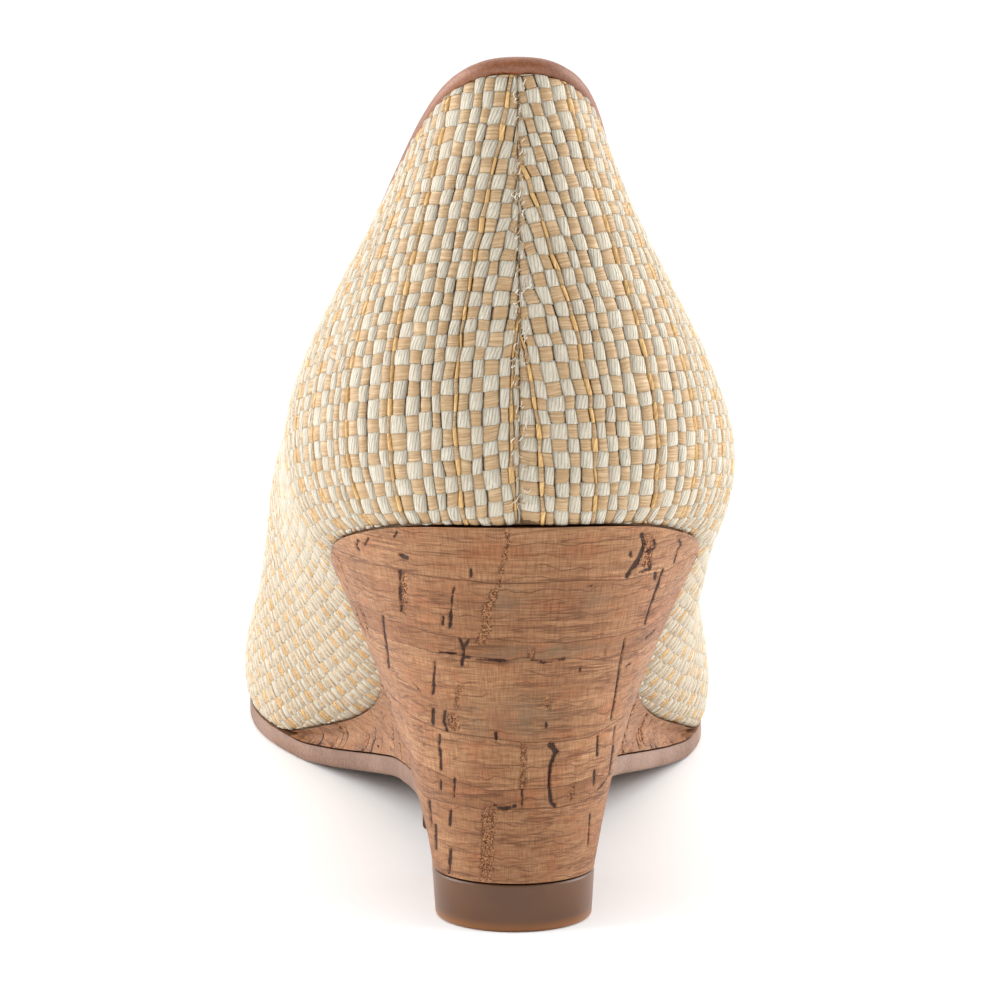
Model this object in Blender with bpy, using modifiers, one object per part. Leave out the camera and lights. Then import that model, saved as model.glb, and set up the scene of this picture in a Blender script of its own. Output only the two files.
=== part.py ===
"""Wedge pump for the right foot, standing empty on its heel lift and outsole.

Six pieces: outsole, cork wedge, heel lift, hollow woven upper, topline binding and insole.
Lengths are in millimetres until a mesh is made, and in Blender's metres after that.
The toe points along +Y, the outer side of the foot is +X and the ground is Z = 0.  While the
pieces are worked out, Y is counted from the back of the footbed and X from the heel's middle.
"""

import math
from collections import namedtuple

import bmesh
import bpy
import numpy as np

MM = 0.001
GAP = 0.3

# Driving dimensions of the last
FOOT_LENGTH = 230.5
BALL_WIDTH = 77.0
HEEL_HEIGHT = 53.2
THROAT_HEIGHT = 42.2
BACK_HEIGHT = 116.3
TOE_SPRING = 9.8
ARCH_RISE = 8.8

# Upper, binding and insole
WALL = 2.0
WALL_COLUMNS = 104
WALL_ROWS = 13
BEAD_RADIUS = 1.1
INSOLE_THICKNESS = 2.2
INSOLE_INSET = 2.6

# Outsole, wedge and heel lift
SOLE_THICKNESS = 3.0
SOLE_EDGE_ROUND = 0.7
LIFT_HEIGHT = 6.6
LIFT_HALF_WIDTH = 11.2
LIFT_BACK = 4.0
LIFT_ROUND = 12.0
LIFT_EDGE_ROUND = 0.6
LIFT_TAPER = 0.3
BREAST = 38.5
WEDGE_FRONT = 129.0
WEDGE_HOLLOW = 3.0
WEDGE_WALL_STEPS = 4
ARCH_NARROW_FROM = 43.5
ARCH_NARROW_TO = 95.5
ARCH_HALF_WIDTH = 12.3
SPRING_START = 0.675
SPRING_POWER = 1.8

# Fineness of the lofts.  Pieces stop this share of a section short of the heel's and toe's middle.
END_SHARE = 0.12
INSOLE_STATIONS = 44
HEEL_STATIONS = 13
ARCH_STATIONS = 26
SOLE_STATIONS = 56
LIFT_STATIONS = 12
SEARCH_STEPS = 40
SMOOTH_BELOW = math.radians(35.0)

# One row for each section of the last, from the back of the heel to the tip of the toe.  Shares of
# the length and of the ball width place the feather edge and the topline; top_height is a share of
# the way from the throat up to the back.  The wall leaves the feather edge outwards by bulge and
# upwards by rise, and comes to the topline from outside by flare and from below by drop.
Section = namedtuple(
    "Section",
    "along lateral medial top_along top_height top_lateral top_medial bulge rise flare drop",
)
SECTIONS = (
    Section(0.000, 0.000, 0.000, 0.015, 1.000, 0.000, 0.000, 7.0, 17.0, 4.0, 22.0),
    Section(0.030, 0.234, 0.218, 0.043, 0.947, 0.128, 0.132, 9.5, 16.0, 5.0, 20.0),
    Section(0.132, 0.347, 0.329, 0.137, 0.742, 0.202, 0.234, 12.5, 15.0, 10.0, 18.0),
    Section(0.262, 0.292, 0.257, 0.258, 0.497, 0.292, 0.338, 17.0, 16.0, 9.0, 16.0),
    Section(0.380, 0.300, 0.252, 0.364, 0.302, 0.350, 0.402, 14.5, 15.0, 5.5, 12.0),
    Section(0.501, 0.402, 0.365, 0.462, 0.146, 0.355, 0.445, 8.0, 13.0, 4.0, 9.0),
    Section(0.631, 0.488, 0.501, 0.544, 0.054, 0.303, 0.403, 4.0, 13.0, 7.0, 7.0),
    Section(0.783, 0.422, 0.535, 0.601, 0.016, 0.185, 0.268, 3.5, 15.0, 17.0, 9.0),
    Section(0.922, 0.222, 0.416, 0.621, 0.003, 0.062, 0.136, 3.5, 17.0, 36.0, 12.0),
    Section(1.000, -0.104, 0.104, 0.625, 0.000, -0.037, 0.037, 3.5, 18.0, 48.0, 14.0),
)

# Height of the footbed above the forefoot, and of the arch above the ground, as shares of the
# heel height and of the arch's rise.
Level = namedtuple("Level", "along height")
FOOTBED = (
    Level(0.000, 1.000),
    Level(0.072, 0.940),
    Level(0.132, 0.853),
    Level(0.197, 0.705),
    Level(0.284, 0.460),
    Level(0.341, 0.315),
    Level(0.436, 0.160),
    Level(0.502, 0.082),
    Level(0.550, 0.030),
    Level(0.585, 0.003),
    Level(0.625, 0.000),
)
ARCH = (
    Level(0.167, 0.760),
    Level(0.230, 1.000),
    Level(0.304, 0.870),
    Level(0.386, 0.560),
    Level(0.440, 0.330),
    Level(0.490, 0.140),
    Level(0.548, 0.000),
)

# Colour, roughness
Finish = namedtuple("Finish", "colour roughness")
FINISHES = {
    "outsole": Finish((0.16, 0.075, 0.035), 0.5),
    "wedge": Finish((0.36, 0.19, 0.10), 0.8),
    "heel_lift": Finish((0.15, 0.068, 0.030), 0.45),
    "upper": Finish((0.55, 0.42, 0.28), 0.9),
    "topline_binding": Finish((0.18, 0.07, 0.028), 0.4),
    "insole": Finish((0.32, 0.18, 0.09), 0.6),
}


class ClosedSpline:
    """A smooth closed curve through points, one unit of its parameter from each to the next."""

    def __init__(self, points):
        self.points = np.array(points, dtype=float)
        count = len(self.points)
        near = np.eye(count)
        ring = 4.0 * near + np.roll(near, 1, axis=1) + np.roll(near, -1, axis=1)
        chords = np.roll(self.points, -1, axis=0) - np.roll(self.points, 1, axis=0)
        self.tangents = np.linalg.solve(ring, 3.0 * chords)

    def at(self, places):
        """Points on the curve at the given parameters."""
        whole = np.floor(places).astype(int)
        t = (places - whole)[:, None]
        first = whole % len(self.points)
        last = (whole + 1) % len(self.points)
        return (
            (2.0 * t**3 - 3.0 * t**2 + 1.0) * self.points[first]
            + (t**3 - 2.0 * t**2 + t) * self.tangents[first]
            + (3.0 * t**2 - 2.0 * t**3) * self.points[last]
            + (t**3 - t**2) * self.tangents[last]
        )


def smooth_profile(levels, along):
    """Heights of a table at shares of the length: a monotone cubic, level past both ends."""
    places = np.array([level.along for level in levels])
    heights = np.array([level.height for level in levels])
    steps = np.diff(places)
    slopes = np.diff(heights) / steps
    tangents = np.zeros(len(levels))
    for i in range(1, len(levels) - 1):
        before, after = slopes[i - 1], slopes[i]
        if before * after > 0.0:
            tangents[i] = 2.0 * before * after / (before + after)
    along = np.clip(along, places[0], places[-1])
    i = np.clip(np.searchsorted(places, along) - 1, 0, len(steps) - 1)
    t = (along - places[i]) / steps[i]
    return (
        (2.0 * t**3 - 3.0 * t**2 + 1.0) * heights[i]
        + (t**3 - 2.0 * t**2 + t) * steps[i] * tangents[i]
        + (3.0 * t**2 - 2.0 * t**3) * heights[i + 1]
        + (t**3 - t**2) * steps[i] * tangents[i + 1]
    )


def toe_spring(y):
    """How far the toe lifts off the ground."""
    share = np.clip((y / FOOT_LENGTH - SPRING_START) / (1.0 - SPRING_START), 0.0, None)
    return TOE_SPRING * share**SPRING_POWER


def sole_bottom(y):
    """Underside of the outsole: arch, flat tread and toe spring."""
    return ARCH_RISE * smooth_profile(ARCH, y / FOOT_LENGTH) + toe_spring(y)


def footbed(y):
    """Height of the feather edge, where upper and insole meet what is under them."""
    level = HEEL_HEIGHT * smooth_profile(FOOTBED, y / FOOT_LENGTH)
    return level + SOLE_THICKNESS + GAP + toe_spring(y)


# Closed loops round the last: out along the lateral side and back along the medial one
TOE = len(SECTIONS) - 1
ROUND = 2 * TOE
COLUMNS = np.linspace(0.0, ROUND, WALL_COLUMNS, endpoint=False)


def loop_of(lateral, medial):
    """A closed spline from one function for the lateral side of a section and one for the medial."""
    out = [lateral(section) for section in SECTIONS]
    back = [medial(section) for section in SECTIONS[TOE - 1:0:-1]]
    return ClosedSpline(out + back)


FOOT_LOOP = loop_of(
    lambda s: (s.lateral * BALL_WIDTH, s.along * FOOT_LENGTH),
    lambda s: (-s.medial * BALL_WIDTH, s.along * FOOT_LENGTH),
)
TOP_LOOP = loop_of(
    lambda s: (s.top_lateral * BALL_WIDTH, s.top_along * FOOT_LENGTH, s.top_height),
    lambda s: (-s.top_medial * BALL_WIDTH, s.top_along * FOOT_LENGTH, s.top_height),
)
WALL_LOOP = loop_of(
    lambda s: (s.bulge, s.rise, s.flare, s.drop),
    lambda s: (s.bulge, s.rise, s.flare, s.drop),
)


def outward(loop, places):
    """Level directions that point out of a loop."""
    reach = 0.01
    ahead = loop.at(places + reach) - loop.at(places - reach)
    turned = np.column_stack((ahead[:, 1], -ahead[:, 0], np.zeros(len(places))))
    return turned / np.linalg.norm(turned, axis=1)[:, None]


def feather_edge(places):
    """Points where the upper's outer face meets the sole."""
    plan = FOOT_LOOP.at(places)
    return np.column_stack((plan, footbed(plan[:, 1])))


def topline(places):
    """Points of the upper's outer top edge."""
    points = TOP_LOOP.at(places)
    points[:, 2] = THROAT_HEIGHT + points[:, 2] * (BACK_HEIGHT - THROAT_HEIGHT)
    return points


def wall_handles(places):
    """The four control points of the wall's curve, from feather edge to topline."""
    bulge, rise, flare, drop = WALL_LOOP.at(places).T[:, :, None]
    up = np.array((0.0, 0.0, 1.0))
    low = feather_edge(places)
    high = topline(places)
    above_low = low + bulge * outward(FOOT_LOOP, places) + rise * up
    below_high = high + flare * outward(TOP_LOOP, places) - drop * up
    return low, above_low, below_high, high


def wall_rows(places, levels):
    """Rows of points up the upper's outer face."""
    low, above_low, below_high, high = wall_handles(places)
    return [
        (1.0 - v) ** 3 * low
        + 3.0 * v * (1.0 - v) ** 2 * above_low
        + 3.0 * v**2 * (1.0 - v) * below_high
        + v**3 * high
        for v in levels
    ]


def section_at(y):
    """The section parameter whose feather edge lies at this Y."""
    places = np.linspace(0.0, TOE, SEARCH_STEPS * TOE + 1)
    return np.interp(y, FOOT_LOOP.at(places)[:, 1], places)


def sides(sections, inset=0.0):
    """Lateral and medial points of the foot outline, level with each other."""
    pair = []
    for places in (sections, ROUND - sections):
        edge = FOOT_LOOP.at(places) - inset * outward(FOOT_LOOP, places)[:, :2]
        pair.append(edge)
    return pair


def lift_half_width(y):
    """Half width of the heel lift, round at the back and straight at the sides."""
    share = np.clip((y - LIFT_BACK) / LIFT_ROUND, 0.0, 1.0)
    return LIFT_HALF_WIDTH * np.sqrt(1.0 - (1.0 - share) ** 2)


def sole_sides(sections):
    """Outline of the sole: as narrow as the heel lift at the breast, full width from the ball."""
    share = (FOOT_LOOP.at(sections)[:, 1] - ARCH_NARROW_FROM) / (ARCH_NARROW_TO - ARCH_NARROW_FROM)
    share = np.clip(share, 0.0, 1.0)
    share = (share**2 * (3.0 - 2.0 * share))[:, None]
    pair = []
    for way, edge in zip((1.0, -1.0), sides(sections)):
        narrow = np.column_stack((np.full(len(edge), way * ARCH_HALF_WIDTH), edge[:, 1]))
        pair.append(narrow + share * (edge - narrow))
    return pair


def add_object(name, mesh):
    """Put a finished mesh in the shoe's collection with its own material."""
    finish = FINISHES[name]
    material = bpy.data.materials.new(name)
    material.use_nodes = True
    shader = material.node_tree.nodes["Principled BSDF"]
    shader.inputs["Base Color"].default_value = (*finish.colour, 1.0)
    shader.inputs["Roughness"].default_value = finish.roughness
    mesh.materials.append(material)
    piece = bpy.data.objects.new(name, mesh)
    bpy.data.collections["wedge_pump"].objects.link(piece)
    return piece


def loft(name, rings, closed_ends):
    """A mesh through rings of points that all run the same way round."""
    form = bmesh.new()
    rows = [[form.verts.new(np.array(point) * MM) for point in ring] for ring in rings]
    count = len(rows[0])
    for low, high in zip(rows, rows[1:]):
        for i in range(count):
            j = (i + 1) % count
            form.faces.new((low[i], low[j], high[j], high[i]))
    if closed_ends:
        form.faces.new(rows[0][::-1])
        form.faces.new(rows[-1])
        bmesh.ops.recalc_face_normals(form, faces=form.faces)
    mesh = bpy.data.meshes.new(name)
    form.to_mesh(mesh)
    form.free()
    mesh.shade_smooth()
    mesh.set_sharp_from_angle(angle=SMOOTH_BELOW)
    return mesh


def outer_face():
    """The grid of points of the upper's outer face, a row for each level of the wall."""
    return wall_rows(COLUMNS, np.linspace(0.0, 1.0, WALL_ROWS))


def make_upper():
    """The hollow wall: an open surface from feather edge to topline, thickened inwards."""
    upper = add_object("upper", loft("upper", outer_face(), closed_ends=False))
    wall = upper.modifiers.new("wall", "SOLIDIFY")
    wall.thickness = WALL * MM
    wall.offset = -1.0
    wall.use_even_offset = True
    wall.use_quality_normals = True
    return upper


def make_topline_binding():
    """A round bead that sits on the upper's top edge."""
    _, _, below, edge = wall_handles(COLUMNS)
    up = (edge - below) / np.linalg.norm(edge - below, axis=1)[:, None]
    ahead = np.roll(edge, -1, axis=0) - np.roll(edge, 1, axis=0)
    out = np.cross(ahead, up)
    out /= np.linalg.norm(out, axis=1)[:, None]
    middle = edge - 0.5 * WALL * out + (BEAD_RADIUS + GAP) * up
    curve = bpy.data.curves.new("topline_binding", "CURVE")
    curve.dimensions = "3D"
    curve.bevel_depth = BEAD_RADIUS * MM
    curve.bevel_resolution = 2
    spline = curve.splines.new("POLY")
    spline.points.add(len(middle) - 1)
    for point, place in zip(spline.points, middle):
        point.co = (*(place * MM), 1.0)
    spline.use_cyclic_u = True
    return add_object("topline_binding", curve)


def make_insole():
    """The footbed that closes the bottom of the upper."""
    sections = np.linspace(END_SHARE, TOE - END_SHARE, INSOLE_STATIONS)
    rings = []
    for lateral, medial in zip(*sides(sections, INSOLE_INSET)):
        ring = []
        for lift, ends in ((0.0, (lateral, medial)), (INSOLE_THICKNESS, (medial, lateral))):
            ring += [(*end, footbed(end[1]) + lift) for end in ends]
        rings.append(ring)
    return add_object("insole", loft("insole", rings, closed_ends=True))


def wedge_ring(lateral, medial, low_y, low_x, low_z):
    """One section of the wedge: lateral wall up, across the top, medial wall down."""
    ring = []
    steps = np.linspace(0.0, 1.0, WEDGE_WALL_STEPS + 1)
    for edge, foot_x, shares in ((lateral, low_x[0], steps), (medial, low_x[1], steps[::-1])):
        low = np.array((foot_x, low_y, low_z))
        high = np.array((*edge, footbed(edge[1]) - GAP))
        for share in shares:
            hollow = WEDGE_HOLLOW * math.sin(math.pi * share) * abs(high[0]) / BALL_WIDTH
            ring.append(low + share * (high - low) - (math.copysign(hollow, edge[0]), 0.0, 0.0))
    return ring


def make_wedge():
    """The wedge: round and narrow over the heel lift, flush with the sole along the arch."""
    breast = section_at(BREAST)
    heel = np.linspace(END_SHARE, breast, HEEL_STATIONS)
    rings = []
    for lateral, medial in zip(*sides(heel)):
        low_y = LIFT_BACK + lateral[1] * (BREAST - LIFT_BACK) / BREAST
        half = lift_half_width(low_y)
        rings.append(wedge_ring(lateral, medial, low_y, (half, -half), LIFT_HEIGHT + GAP))
    arch = np.linspace(section_at(BREAST + GAP), section_at(WEDGE_FRONT), ARCH_STATIONS)
    for lateral, medial, low in zip(*sides(arch), zip(*sole_sides(arch))):
        low_y = lateral[1]
        low_z = sole_bottom(low_y) + SOLE_THICKNESS + GAP
        rings.append(wedge_ring(lateral, medial, low_y, (low[0][0], low[1][0]), low_z))
    return add_object("wedge", loft("wedge", rings, closed_ends=True))


def make_outsole():
    """The thin sole from the heel's breast to the toe, its lower edges rounded off."""
    sections = np.linspace(section_at(BREAST + 3.0 * GAP), TOE - END_SHARE, SOLE_STATIONS)
    rings = []
    for pair in zip(*sole_sides(sections)):
        ring = []
        for way, edge in zip((1.0, -1.0), pair):
            low = sole_bottom(edge[1])
            side = [
                (edge[0], edge[1], low + SOLE_THICKNESS),
                (edge[0], edge[1], low + SOLE_EDGE_ROUND),
                (edge[0] - way * SOLE_EDGE_ROUND, edge[1], low),
            ]
            ring += side if way > 0.0 else side[::-1]
        rings.append(ring)
    return add_object("outsole", loft("outsole", rings, closed_ends=True))


def make_heel_lift():
    """The top piece under the heel, tapered a little and rounded along its lower edge."""
    turn = np.linspace(0.0, 0.5 * math.pi, LIFT_STATIONS)
    depth = LIFT_BACK + LIFT_ROUND * (1.0 - np.cos(turn))
    rings = []
    for height, inset in (
        (0.0, LIFT_TAPER + LIFT_EDGE_ROUND),
        (LIFT_EDGE_ROUND, LIFT_TAPER),
        (LIFT_HEIGHT, 0.0),
    ):
        shrink = 1.0 - inset / LIFT_HALF_WIDTH
        half = lift_half_width(depth) * shrink
        back = depth + inset * np.cos(turn)
        lateral = [(x, y, height) for x, y in zip(half, back)] + [(half[-1], BREAST, height)]
        medial = [(-x, y, z) for x, y, z in lateral[:0:-1]]
        rings.append(lateral + medial)
    return add_object("heel_lift", loft("heel_lift", rings, closed_ends=True))


def clear_scene():
    """Start from an empty scene with one collection for the shoe."""
    for old in list(bpy.data.objects):
        bpy.data.objects.remove(old)
    parts = bpy.data.collections.new("wedge_pump")
    bpy.context.scene.collection.children.link(parts)


def main():
    """Build the pieces and centre them over the ground."""
    clear_scene()
    pieces = [
        make_outsole(),
        make_wedge(),
        make_heel_lift(),
        make_upper(),
        make_topline_binding(),
        make_insole(),
    ]
    centre = bpy.data.objects.new("shoe_centre", None)
    bpy.data.collections["wedge_pump"].objects.link(centre)
    outer = np.concatenate(outer_face())
    middle = 0.5 * (outer.min(axis=0) + outer.max(axis=0))
    centre.location = (-middle[0] * MM, -middle[1] * MM, 0.0)
    for piece in pieces:
        piece.parent = centre


main()
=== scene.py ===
"""Looks of a woven wedge pump for the right foot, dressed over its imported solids.

Shapes are worked out in millimetres on the last: Y from the back of the footbed, X from the heel's
middle, Z from the ground. A mesh is in metres, in the part's own frame.
"""

import logging
import math
from collections.abc import Callable, Iterable, Sequence
from dataclasses import dataclass, field
from enum import Enum
from functools import cache

import bpy
import numpy as np
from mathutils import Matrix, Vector
from mathutils.bvhtree import BVHTree


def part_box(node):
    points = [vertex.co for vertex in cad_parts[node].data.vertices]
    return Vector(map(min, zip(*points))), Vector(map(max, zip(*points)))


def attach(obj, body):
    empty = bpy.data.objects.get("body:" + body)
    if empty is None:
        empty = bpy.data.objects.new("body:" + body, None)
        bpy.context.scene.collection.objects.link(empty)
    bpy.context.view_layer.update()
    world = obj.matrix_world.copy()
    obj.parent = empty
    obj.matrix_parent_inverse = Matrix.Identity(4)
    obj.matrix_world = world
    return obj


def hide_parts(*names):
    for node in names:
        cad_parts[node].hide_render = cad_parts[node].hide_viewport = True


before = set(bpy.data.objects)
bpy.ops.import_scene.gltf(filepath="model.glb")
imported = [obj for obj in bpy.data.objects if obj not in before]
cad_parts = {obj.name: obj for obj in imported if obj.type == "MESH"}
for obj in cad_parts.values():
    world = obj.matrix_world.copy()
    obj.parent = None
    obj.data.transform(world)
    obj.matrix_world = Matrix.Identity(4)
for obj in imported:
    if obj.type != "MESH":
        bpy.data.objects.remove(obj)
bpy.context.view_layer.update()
LOG = logging.getLogger("wedge_pump")
Array = np.ndarray
Colour = tuple[float, float, float, float]
Socket = bpy.types.NodeSocket
Tree = bpy.types.NodeTree
Node = bpy.types.Node
Mesh = bpy.types.Mesh
Material = bpy.types.Material
MM = 0.001
BODY = "root"
# Share of a mark's width that counts to each side of its trail
MARK_HALF = 0.36
# Least square of a trail's step, so that nothing is divided by 0
MARK_STEP = 1e-9
# Step from the seam or the toe, so that no two points of a ring fall together
TIP = 0.01
# Sizes of a float, in the order of a yarn's shape
FLOAT_SIZES = (
    "Crown", "Across Sink", "Along Sink", "Across Power", "Along Power", "Across Shoulder", "Along Shoulder",
)
UP = np.array((0.0, 0.0, 1.0))


def rgb(red: int, green: int, blue: int) -> Colour:
    """Linear colour of an sRGB triple.

    Args:
        red: Red, from 0 to 255.
        green: Green, in the same way.
        blue: Blue, in the same way.

    Returns:
        The colour, opaque.
    """
    shares = np.array((red, green, blue)) / 255.0
    linear = np.where(shares <= 0.04045, shares / 12.92, ((shares + 0.055) / 1.055) ** 2.4)
    return (*linear.tolist(), 1.0)


def smoothstep(low: float, high: float, value: Array) -> Array:
    """Share of the way from low to high, eased at both ends."""
    share = np.clip((value - low) / (high - low), 0.0, 1.0)
    return share**2 * (3.0 - 2.0 * share)


def unit(vectors: Array) -> Array:
    """Rows scaled to length one."""
    return vectors / np.linalg.norm(vectors, axis=1)[:, None]


def cross(first: Array, second: Array) -> Array:
    """Cross products of flat vectors, row by row."""
    return first[:, 0] * second[:, 1] - first[:, 1] * second[:, 0]


def hermite(t: Array, start: Array, leave: Array, end: Array, arrive: Array) -> Array:
    """Places on cubics, t of the way from start to end, with the tangents there.

    Args:
        t: Shares of the way.
        start: Where each cubic starts.
        leave: Its tangent there.
        end: Where it ends.
        arrive: Its tangent there.

    Returns:
        One place for each share.
    """
    return (
        (2.0 * t**3 - 3.0 * t**2 + 1.0) * start
        + (t**3 - 2.0 * t**2 + t) * leave
        + (3.0 * t**2 - 2.0 * t**3) * end
        + (t**3 - t**2) * arrive
    )


def grid_cells(shape: tuple[int, int]) -> Array:
    """Numbers of the four points round each cell of a grid.

    Args:
        shape: How many points the grid has each way.

    Returns:
        Four numbers a row, in order round the cell.
    """
    number = np.arange(shape[0] * shape[1]).reshape(shape)
    corners = (number[:-1, :-1], number[1:, :-1], number[1:, 1:], number[:-1, 1:])
    return np.stack(corners, axis=-1).reshape(-1, 4)


def rounded(radius: float, count: int) -> list[tuple[float, float]]:
    """Steps up and in, round a quarter turn from a lower face to a side."""
    return [(radius * (1.0 - math.cos(a)), radius * (1.0 - math.sin(a)))
            for a in np.linspace(0.0, 0.5 * math.pi, count)]


class Side(Enum):
    """The two sides of the foot, with the sign of X there."""

    LATERAL = 1.0
    MEDIAL = -1.0


class Yarn(Enum):
    """The yarns of the cloth."""

    COTTON = "cotton"
    RIBBON = "ribbon"
    GOLD = "gold"


@dataclass(frozen=True)
class Section:
    """One section of the last, in shares of its length and ball width and in millimetres of wall."""

    along: float
    lateral: float
    medial: float
    top_along: float
    top_height: float
    top_lateral: float
    top_medial: float
    bulge: float
    rise: float
    flare: float
    drop: float


SECTIONS = (
    Section(0.000, 0.000, 0.000, 0.015, 1.000, 0.000, 0.000, 7.0, 17.0, 4.0, 22.0),
    Section(0.030, 0.234, 0.218, 0.043, 0.947, 0.128, 0.132, 9.5, 16.0, 5.0, 20.0),
    Section(0.132, 0.347, 0.329, 0.137, 0.742, 0.202, 0.234, 12.5, 15.0, 10.0, 18.0),
    Section(0.262, 0.292, 0.257, 0.258, 0.497, 0.292, 0.338, 17.0, 16.0, 9.0, 16.0),
    Section(0.380, 0.300, 0.252, 0.364, 0.302, 0.350, 0.402, 14.5, 15.0, 5.5, 12.0),
    Section(0.501, 0.402, 0.365, 0.462, 0.146, 0.355, 0.445, 8.0, 13.0, 4.0, 9.0),
    Section(0.631, 0.488, 0.501, 0.544, 0.054, 0.303, 0.403, 4.0, 13.0, 7.0, 7.0),
    Section(0.783, 0.422, 0.535, 0.601, 0.016, 0.185, 0.268, 3.5, 15.0, 17.0, 9.0),
    Section(0.922, 0.222, 0.416, 0.621, 0.003, 0.062, 0.136, 3.5, 17.0, 36.0, 12.0),
    Section(1.000, -0.104, 0.104, 0.625, 0.000, -0.037, 0.037, 3.5, 18.0, 48.0, 14.0),
)

# Shares of the length with shares of the heel's height and of the arch's rise
FOOTBED = (
    (0.000, 1.000), (0.072, 0.940), (0.132, 0.853), (0.197, 0.705), (0.284, 0.460), (0.341, 0.315),
    (0.436, 0.160), (0.502, 0.082), (0.550, 0.030), (0.585, 0.003), (0.625, 0.000),
)
ARCH = (
    (0.167, 0.760), (0.230, 1.000), (0.304, 0.870), (0.386, 0.560), (0.440, 0.330), (0.490, 0.140),
    (0.548, 0.000),
)


class ClosedSpline:
    """A smooth closed curve through points, one unit of its parameter from each to the next."""

    def __init__(self, points: Sequence[Sequence[float]]) -> None:
        """Solve for the tangents.

        Args:
            points: The points in order round the curve.
        """
        self.points = np.array(points, dtype=float)
        near = np.eye(len(self.points))
        ring = 4.0 * near + np.roll(near, 1, axis=1) + np.roll(near, -1, axis=1)
        chords = np.roll(self.points, -1, axis=0) - np.roll(self.points, 1, axis=0)
        self.tangents = np.linalg.solve(ring, 3.0 * chords)

    def at(self, places: Array) -> Array:
        """Points on the curve at the given parameters.

        Args:
            places: The parameters, of any size, since the curve is closed.

        Returns:
            One point a row.
        """
        whole = np.floor(places).astype(int)
        t = (places - whole)[:, None]
        first = whole % len(self.points)
        last = (whole + 1) % len(self.points)
        return hermite(t, self.points[first], self.tangents[first], self.points[last], self.tangents[last])


def smooth_profile(levels: Sequence[tuple[float, float]], along: Array) -> Array:
    """Heights of a table at shares of the length: a monotone cubic, level past both ends.

    Args:
        levels: Rows of a share of the length and a height.
        along: The shares to read.

    Returns:
        One height for each share.
    """
    places, heights = np.array(levels).T
    steps = np.diff(places)
    slopes = np.diff(heights) / steps
    tangents = np.zeros(len(places))
    before, after = slopes[:-1], slopes[1:]
    same_way = before * after > 0.0
    tangents[1:-1][same_way] = (2.0 * before * after)[same_way] / (before + after)[same_way]
    along = np.clip(along, places[0], places[-1])
    i = np.clip(np.searchsorted(places, along) - 1, 0, len(steps) - 1)
    t = (along - places[i]) / steps[i]
    return hermite(t, heights[i], steps[i] * tangents[i], heights[i + 1], steps[i] * tangents[i + 1])


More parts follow.
